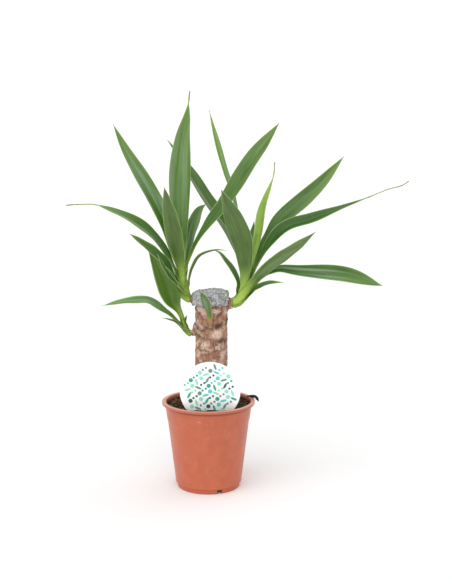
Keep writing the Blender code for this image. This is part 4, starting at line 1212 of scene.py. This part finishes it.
def leaf_material(name, settings, colour, tip, roughness, specular, vein_depth):
    """Yucca leaf, grown: fine parallel veins, a thin pale margin, a yellow-green base, a dry tip.

    The UV map holds millimetres across and along the blade. The first attribute holds distance
    from the margin (red, 1 at 4 mm), share of the length (green) and share of sheath colour (blue);
    the second holds yellowness (red), lightness (green, the leaf's tone, raised on some leaves for
    painted sheen), dryness (blue) and waxy bloom with painted sheen (alpha).
    Veins are 0.9 mm apart, a little coarser than real ones, so that they show.
    """
    material, tree, shader = new_material(name, roughness, ior=1.45, Specular_IOR_Level=specular)
    zones = add_node(tree, "ShaderNodeVertexColor", layer_name="zones")
    split = add_node(tree, "ShaderNodeSeparateColor", {"Color": zones.outputs["Color"]})
    edge, share, sheath = (split.outputs[channel] for channel in ("Red", "Green", "Blue"))
    own = add_node(tree, "ShaderNodeVertexColor", layer_name="tone")
    own_split = add_node(tree, "ShaderNodeSeparateColor", {"Color": own.outputs["Color"]})
    yellow, light, dry = (own_split.outputs[channel] for channel in ("Red", "Green", "Blue"))
    flat = add_node(tree, "ShaderNodeUVMap", uv_map="blade_mm").outputs["UV"]
    offset = add_node(tree, "ShaderNodeVectorMath",
                      {0: own.outputs["Color"], 1: (40.0, 40.0, 0.0)}, operation="MULTIPLY")
    bands = {}
    for key, across_mm, along_mm, detail in (("vein", 0.9, 45.0, 2.0), ("stripe", 4.0, 120.0, 2.0),
                                              ("cloud", 8.0, 30.0, 3.0),
                                              ("sheen", 7.0, 160.0, 1.0)):
        scaled = add_node(tree, "ShaderNodeVectorMath",
                          {0: flat, 1: (1 / across_mm, 1 / along_mm, 1.0), 2: offset.outputs[0]},
                          operation="MULTIPLY_ADD")
        texture = add_node(tree, "ShaderNodeTexNoise",
                           {"Vector": scaled.outputs[0], "Scale": 1.0, "Detail": detail})
        bands[key] = texture.outputs["Fac"]
    green = blend_colours(tree, threshold(tree, share, 0.35, 1.0), colour, tip)
    green = blend_colours(tree, yellow, green, settings.young)
    stripe = threshold(tree, bands["stripe"], 0.35, 0.65)
    green = blend_colours(tree, stripe, green, linear("#E6E6E6"), "MULTIPLY")
    cloud = threshold(tree, bands["cloud"], 0.45, 0.75)
    green = blend_colours(tree, cloud, green, linear("#D2DDBE"), "MULTIPLY")
    vein = threshold(tree, bands["vein"], 0.40, 0.62)
    green = blend_colours(tree, vein, green, linear("#E8E8E8"), "MULTIPLY")
    # Each leaf's lightness: its own tone, raised on some leaves for painted sheen
    tone_and_sheen = add_node(tree, "ShaderNodeMapRange", {"Value": light, "To Min": 0.50, "To Max": 1.50})
    green = add_node(tree, "ShaderNodeVectorMath", {0: green, 3: tone_and_sheen.outputs["Result"]},
                     operation="SCALE").outputs[0]
    soft = add_node(tree, "ShaderNodeMath", {0: sheath, 1: cloud}, operation="MULTIPLY")
    # Waxy bloom with painted sheen, in long soft streaks over the middle of the blade
    film = add_node(tree, "ShaderNodeMath", {0: own.outputs["Alpha"],
                                             1: threshold(tree, bands["sheen"], 0.62, 0.38)},
                    operation="MULTIPLY")
    spread = add_node(tree, "ShaderNodeMath", {0: film.outputs[0],
                                               1: threshold(tree, share, 0.10, 0.50)},
                      operation="MULTIPLY")
    bloom_and_sheen_share = add_node(tree, "ShaderNodeMath", {0: spread.outputs[0],
                                               1: threshold(tree, share, 0.95, 0.60)},
                      operation="MULTIPLY")
    green = blend_colours(tree, bloom_and_sheen_share.outputs[0], green, settings.bloom_and_sheen)
    green = blend_colours(tree, sheath, green, settings.sheath)
    green = blend_colours(tree, soft.outputs[0], green, linear("#93B24A"))
    fold_shade = add_node(tree, "ShaderNodeMath", {0: sheath, 1: threshold(tree, edge, 0.85, 0.25)},
                          operation="MULTIPLY")
    green = blend_colours(tree, fold_shade.outputs[0], green, linear("#5F8A2A"))
    rim = threshold(tree, edge, 0.22, 0.08)
    pale = blend_colours(tree, 0.6, green, settings.margin)
    green = blend_colours(tree, rim, green, pale)
    green = blend_colours(tree, dry, green, settings.dry)
    tree.links.new(green, shader.inputs["Base Color"])
    relief = add_node(tree, "ShaderNodeMath", {0: bands["vein"], 1: bands["stripe"]}, operation="ADD")
    bump_from(tree, shader, relief.outputs[0], vein_depth)
    return material


def leaf_upper_side(settings):
    """The waxy upper side of a yucca leaf: deeper green, with a broad soft gloss."""
    return leaf_material("yucca_leaf_upper_side", settings, settings.upper, linear("#6E944A"),
                         0.36, 0.40, 0.14)


def leaf_underside(settings):
    """The underside of a yucca leaf: greyer and more matt."""
    return leaf_material("yucca_leaf_underside", settings, settings.under, linear("#66804C"),
                         0.52, 0.35, 0.10)


def dry_bract(settings):
    """A papery bract, dried on the plant: tan, thin and dull."""
    material, tree, shader = new_material("dried_bract", 0.75)
    streak = threshold(tree, object_noise(tree, 0.8, 3.0, 0.6, (1.0, 1.0, 0.25)), 0.40, 0.66)
    colour = blend_colours(tree, streak, linear("#A87A4E"), settings.dry)
    tree.links.new(colour, shader.inputs["Base Color"])
    return material


def leaf_width(share, widest, peak, thread):
    """Blade width at a share of the length: narrow neck, belly, then a long point or dry thread."""
    blade_end = 1.0 - thread
    if share >= blade_end:
        return TIP_WIDTH * (3.4 - 1.9 * (share - blade_end) / thread) if thread else TIP_WIDTH
    neck = min(NECK_WIDTH, NECK_SHARE * widest) * (1 - 0.40 * ease(peak, 0.60, 0.70))
    if share < peak:
        rise = share / peak
        stalk = 0.8 + 2.5 * max(0.0, peak - 0.55)
        return neck + (widest - neck) * (rise * rise * (3 - 2 * rise)) ** stalk
    fall = (share - peak) / (blade_end - peak)
    return max(TIP_WIDTH * (3.4 if thread else 1.0), widest * (1 - fall ** (1.7 if thread else 2.0)))


def stem_at(stations, height, heading):
    """Axis point, direction, way out from the axis and radius at a share of a shoot's height."""
    points = [Vector(place) for place, _ in stations]
    place, direction, index, part = along(points, height)
    radius = stations[index][1] * (1 - part) + stations[index + 1][1] * part
    outward = Vector((math.cos(math.radians(heading)), math.sin(math.radians(heading)), 0.0))
    outward -= outward.dot(direction) * direction
    outward.normalize()
    return place, direction, outward, radius


def leaf_rows(leaf):
    """Rows of a leaf from the foot of its sheath to its tip.

    Each row is its place, direction, normal, distance from the blade's start in metres (negative
    on the sheath), the blade's share and the radius of the tube it is wrapped round.
    """
    shoot, height, heading, widest, _, _, roll_middle, roll_tip = leaf[:8]
    stations = SHOOTS[shoot]
    foot = max(0.03, height - SHEATH_REACH[shoot])
    sheath = []
    for step in range(SHEATH_ROWS):
        share = step / SHEATH_ROWS
        place, direction, outward, radius = stem_at(stations, foot + (height - foot) * share, heading)
        layered = radius * (STEM_CORE + 0.02 + 0.38 * (1 - height)) + 0.0003
        loose = ease(share, 0.3, 1.0)
        wrap = layered * (1 - loose) + (radius + LEAF_GAP) * loose
        sheath.append((place + outward * wrap, direction, -outward, wrap))
    place, direction, outward, stem = stem_at(stations, height, heading)
    start = place + outward * (stem + LEAF_GAP)
    below = sheath[SHEATH_ROWS // 2][0]
    points = [below, start] + [Vector(point) for point in leaf[-1]]
    per_span = 12
    chain = curve_through(points, per_span)[per_span:]
    length = sum((end - begin).length for begin, end in zip(chain, chain[1:]))
    count = max(20, min(ROWS_ALONG, round(length / 0.0018)))
    blade = rolled_frames(chain, count, -outward)
    rows = []
    climb = sum((end[0] - begin[0]).length for begin, end in zip(sheath, sheath[1:]))
    for step, (spot, way, normal, wrap) in enumerate(sheath):
        share = step / SHEATH_ROWS
        lean = way.lerp(blade[0][1], ease(share, 0.4, 1.0)).normalized()
        normal = (normal - normal.dot(lean) * lean).normalized()
        rows.append((spot, lean, normal, climb * (share - 1), 0.0, wrap))
    for step, (spot, way, normal) in enumerate(blade):
        share = step / count
        roll = roll_middle * ease(share, 0.05, 0.45)
        roll += (roll_tip - roll_middle) * ease(share, 0.45, 1.0)
        roll += 2.5 * math.sin(5.0 * share + 40 * widest * height) * ease(share, 0.1, 0.4)
        turned = Matrix.Rotation(math.radians(roll), 3, way) @ normal
        rows.append((spot, way, turned, share * length, share, stem + LEAF_GAP))
    return rows, length


class YUCCA_OT_leaves(bpy.types.Operator):
    """Make every leaf of the four shoots"""
    bl_idname = "yucca.leaves"
    bl_label = "Leaves"

    def execute(self, context):
        settings = context.scene.yucca_leaf
        materials = [leaf_upper_side(settings), leaf_underside(settings)]
        counts = dict.fromkeys(SHOOTS, 0)
        for number, leaf in enumerate(LEAVES):
            shoot = leaf[0]
            counts[shoot] += 1
            name = "%s_shoot_blade_%02d" % (shoot, counts[shoot])
            node = "%s_shoot_leaf_%02d" % (shoot, counts[shoot])
            self.make_blade(name, node, leaf, number, settings, materials)
        self.make_bract(settings)
        return {"FINISHED"}

    def make_blade(self, name, node, leaf, number, settings, materials):
        """One leaf: a grid laid up its sheath and along its midrib, clasping the stem at its base."""
        _, _, _, widest, peak, thread, _, _, fold, yellow, light, bloom_and_sheen, _ = leaf
        rows, length = leaf_rows(leaf)
        last = len(rows) - 1
        small = ease(widest, 0.004, 0.016)
        grip = 0.016 + 0.016 * small
        first_half = leaf_width(0.0, widest, peak, thread) / 2
        blade_end = 1.0 - thread
        bm = bmesh.new()
        flat = bm.loops.layers.uv.new("blade_mm")
        zones = bm.verts.layers.float_color.new("zones")
        tone = bm.verts.layers.float_color.new("tone")
        weight = bm.verts.layers.deform.verify()
        bmesh.ops.create_grid(bm, x_segments=ROWS_ACROSS, y_segments=last, size=1.0, calc_uvs=True)
        for vertex in bm.verts:
            across = vertex.co.x
            row = round((vertex.co.y + 1) / 2 * last)
            place, direction, normal, distance, share, wrap = rows[row]
            side = direction.cross(normal)
            on_sheath = ease(-distance, 0.0, grip)
            clasp = 1 - ease(distance, 0.0, grip)
            half = leaf_width(share, widest, peak, thread) / 2
            hug = max(first_half, (1.20 + 0.30 * small) * wrap)
            half += clasp ** 2 * (hug - first_half)
            half *= 1 + 0.20 * on_sheath
            crease = fold * FOLD_GAIN
            slope = math.radians(crease + (BASE_FOLD - crease) * (1 - ease(share, 0.0, 0.3)))
            rise = (math.sqrt(across ** 2 + 0.03) - 0.1732) / 0.8417 - 0.5
            ripple = 0.0005 * small * across ** 2 * math.sin(26 * share + 2.1 * number + 1.5 * across)
            droop = 0.05 * half * across ** 4
            open_shape = (side * across * half
                          + normal * (rise * half * math.tan(slope) + ripple - droop))
            bend = across * half / wrap
            wrapped = (side * math.sin(bend) + normal * (1 - math.cos(bend))) * wrap
            vertex.co = place + wrapped * clasp + open_shape * (1 - clasp)
            sheath = 1 - ease(distance, -0.006, min(0.042, 0.26 * length))
            dryness = 0.9 * ease(share, 0.970, 1.0)
            if thread:
                dryness = 0.85 * ease(share, blade_end - 0.02, 1.0)
            edge_mm = (1 - abs(across)) * half / MM
            vertex[zones] = (min(1.0, edge_mm / 4), share, sheath * (0.5 + 0.5 * small), 1.0)
            vertex[tone] = (yellow, light, dryness, bloom_and_sheen)
            thin = 1 - 0.55 * across ** 2
            vertex[weight][0] = thin * (0.45 + 0.55 * (1 - ease(share, 0.6, 1.0))) * (1 - 0.4 * clasp)
            if thread and share > blade_end:
                vertex[weight][0] = 1.0
        for face in bm.faces:
            for loop in face.loops:
                spot = loop[flat].uv
                loop[flat].uv = ((spot.x - 0.5) * widest / MM, spot.y * length / MM)
        blade = finished(name, bm, materials, [node], 180)
        group = blade.vertex_groups.new(name="thickness")
        solidify = blade.modifiers.new("Thickness", "SOLIDIFY")
        solidify.thickness = settings.thickness * (0.55 + 0.45 * small)
        solidify.offset = 0.0
        solidify.vertex_group = group.name
        solidify.thickness_vertex_group = 0.0
        solidify.material_offset = 1
        solidify.material_offset_rim = 1

    def make_bract(self, settings):
        """The papery bract under the front sprout."""
        stations = (((0.0034, -0.0222, 0.2115), 0.0004), ((0.0032, -0.0240, 0.2150), 0.0015),
                    ((0.0028, -0.0258, 0.2195), 0.0028), ((0.0020, -0.0274, 0.2228), 0.0036),
                    ((0.0016, -0.0282, 0.2246), 0.0031))
        bm = tube(stations, 20, 24)
        for vertex in bm.verts:
            vertex.co.x += 0.0004 * grain(vertex.co, 0.003, 2.0)
        finished("front_sprout_bract", bm, [dry_bract(settings)], crease=60)


# Stage

def painted_studio_sweep(settings):
    """A studio sweep, painted matt white, that curves up so that no corner shows."""
    material, tree, shader = new_material("painted_studio_sweep", 0.9, Specular_IOR_Level=0.2)
    cloud = threshold(tree, object_noise(tree, 400.0, 1.0), 0.3, 0.7)
    colour = blend_colours(tree, cloud, settings.floor, linear("#F8F8F8"))
    tree.links.new(colour, shader.inputs["Base Color"])
    return material


class YUCCA_OT_stage(bpy.types.Operator):
    """Make the pale floor, the soft light and the camera"""
    bl_idname = "yucca.stage"
    bl_label = "Stage"

    def execute(self, context):
        settings = context.scene.yucca_stage
        scene = context.scene
        sweep = rounded([(0.0, -0.001), (5.0, -0.001), (5.0, 4.5)], 1.6, 12)
        backdrop = spun(sweep, 96)
        bmesh.ops.reverse_faces(backdrop, faces=backdrop.faces)
        mesh = bpy.data.meshes.new("studio_sweep")
        backdrop.to_mesh(mesh)
        backdrop.free()
        mesh.materials.append(painted_studio_sweep(settings))
        mesh.shade_smooth()
        floor = bpy.data.objects.new("studio_sweep", mesh)
        floor.visible_diffuse = False
        floor.visible_shadow = False
        scene.collection.objects.link(floor)
        self.add_near_floor(settings)

        world = bpy.data.worlds.new("studio_light_tent")
        world.use_nodes = True
        background = world.node_tree.nodes["Background"]
        background.inputs["Color"].default_value = (1.0, 1.0, 1.0, 1.0)
        background.inputs["Strength"].default_value = settings.sky
        scene.world = world

        self.add_light("soft_key", settings.key, 80, (-1.0, -1.9, 2.0))
        self.add_light("soft_fill", settings.fill, 80, (1.6, 1.3, 1.2))

        lens = bpy.data.cameras.new("front_camera")
        lens.lens = settings.focal_length
        lens.sensor_width = 36.0
        lens.clip_start = 0.05
        lens.clip_end = 60.0
        camera = bpy.data.objects.new("front_camera", lens)
        camera.location = (0.0226, -1.200, 0.4245)
        camera.rotation_euler = (math.radians(81.9), 0.0, 0.0)
        scene.collection.objects.link(camera)
        scene.camera = camera
        scene.view_settings.view_transform = "Standard"
        return {"FINISHED"}

    def add_near_floor(self, settings):
        """The part of the floor that the pot stands on, which keeps light from coming up under it."""
        bm = bmesh.new()
        bmesh.ops.create_circle(bm, cap_ends=True, segments=96, radius=settings.near_floor)
        mesh = bpy.data.meshes.new("studio_floor")
        bm.to_mesh(mesh)
        bm.free()
        mesh.materials.append(painted_studio_sweep(settings))
        near = bpy.data.objects.new("studio_floor", mesh)
        bpy.context.scene.collection.objects.link(near)

    def add_light(self, name, strength, spread, place):
        """A broad soft lamp at a place, aimed at the middle of the plant."""
        lamp = bpy.data.lights.new(name, "SUN")
        lamp.energy = strength
        lamp.angle = math.radians(spread)
        light = bpy.data.objects.new(name, lamp)
        light.location = place
        light.rotation_euler = (Vector((0, 0, 0.25)) - Vector(place)).to_track_quat("-Z", "Y").to_euler()
        bpy.context.scene.collection.objects.link(light)


class YUCCA_PT_panel(bpy.types.Panel):
    """Lists the pieces and their settings"""
    bl_idname = "YUCCA_PT_panel"
    bl_label = "Potted Yucca"
    bl_space_type = "VIEW_3D"
    bl_region_type = "UI"
    bl_category = "Yucca"

    def draw(self, context):
        for operator, group in PIECES:
            box = self.layout.box()
            box.operator(operator.bl_idname)
            if group:
                settings = getattr(context.scene, group)
                for name in settings.bl_rna.properties.keys():
                    if name not in ("rna_type", "name"):
                        box.prop(settings, name)


# Operators in the order they run, each with the name of its settings on the scene
PIECES = (
    (YUCCA_OT_pot, "yucca_pot"),
    (YUCCA_OT_soil, "yucca_soil"),
    (YUCCA_OT_cane, "yucca_cane"),
    (YUCCA_OT_wax, "yucca_wax"),
    (YUCCA_OT_label, "yucca_label"),
    (YUCCA_OT_chip, None),
    (YUCCA_OT_stems, None),
    (YUCCA_OT_leaves, "yucca_leaf"),
    (YUCCA_OT_stage, "yucca_stage"),
)

SETTINGS = {
    "yucca_pot": YuccaPotSettings,
    "yucca_soil": YuccaSoilSettings,
    "yucca_cane": YuccaCaneSettings,
    "yucca_wax": YuccaWaxSettings,
    "yucca_label": YuccaLabelSettings,
    "yucca_leaf": YuccaLeafSettings,
    "yucca_stage": YuccaStageSettings,
}

CLASSES = (*SETTINGS.values(), *(operator for operator, _ in PIECES), YUCCA_PT_panel)


def register():
    """Register the classes and hang the settings on the scene."""
    for item in CLASSES:
        bpy.utils.register_class(item)
    for name, group in SETTINGS.items():
        setattr(bpy.types.Scene, name, PointerProperty(type=group))


def unregister():
    """Take the settings and classes away again."""
    for name in SETTINGS:
        delattr(bpy.types.Scene, name)
    for item in reversed(CLASSES):
        bpy.utils.unregister_class(item)


def main():
    """Make every piece."""
    register()
    bpy.ops.yucca.pot()
    bpy.ops.yucca.soil()
    bpy.ops.yucca.cane()
    bpy.ops.yucca.wax()
    bpy.ops.yucca.label()
    bpy.ops.yucca.chip()
    bpy.ops.yucca.stems()
    bpy.ops.yucca.leaves()
    bpy.ops.yucca.stage()


if __name__ == "__main__":
    main()
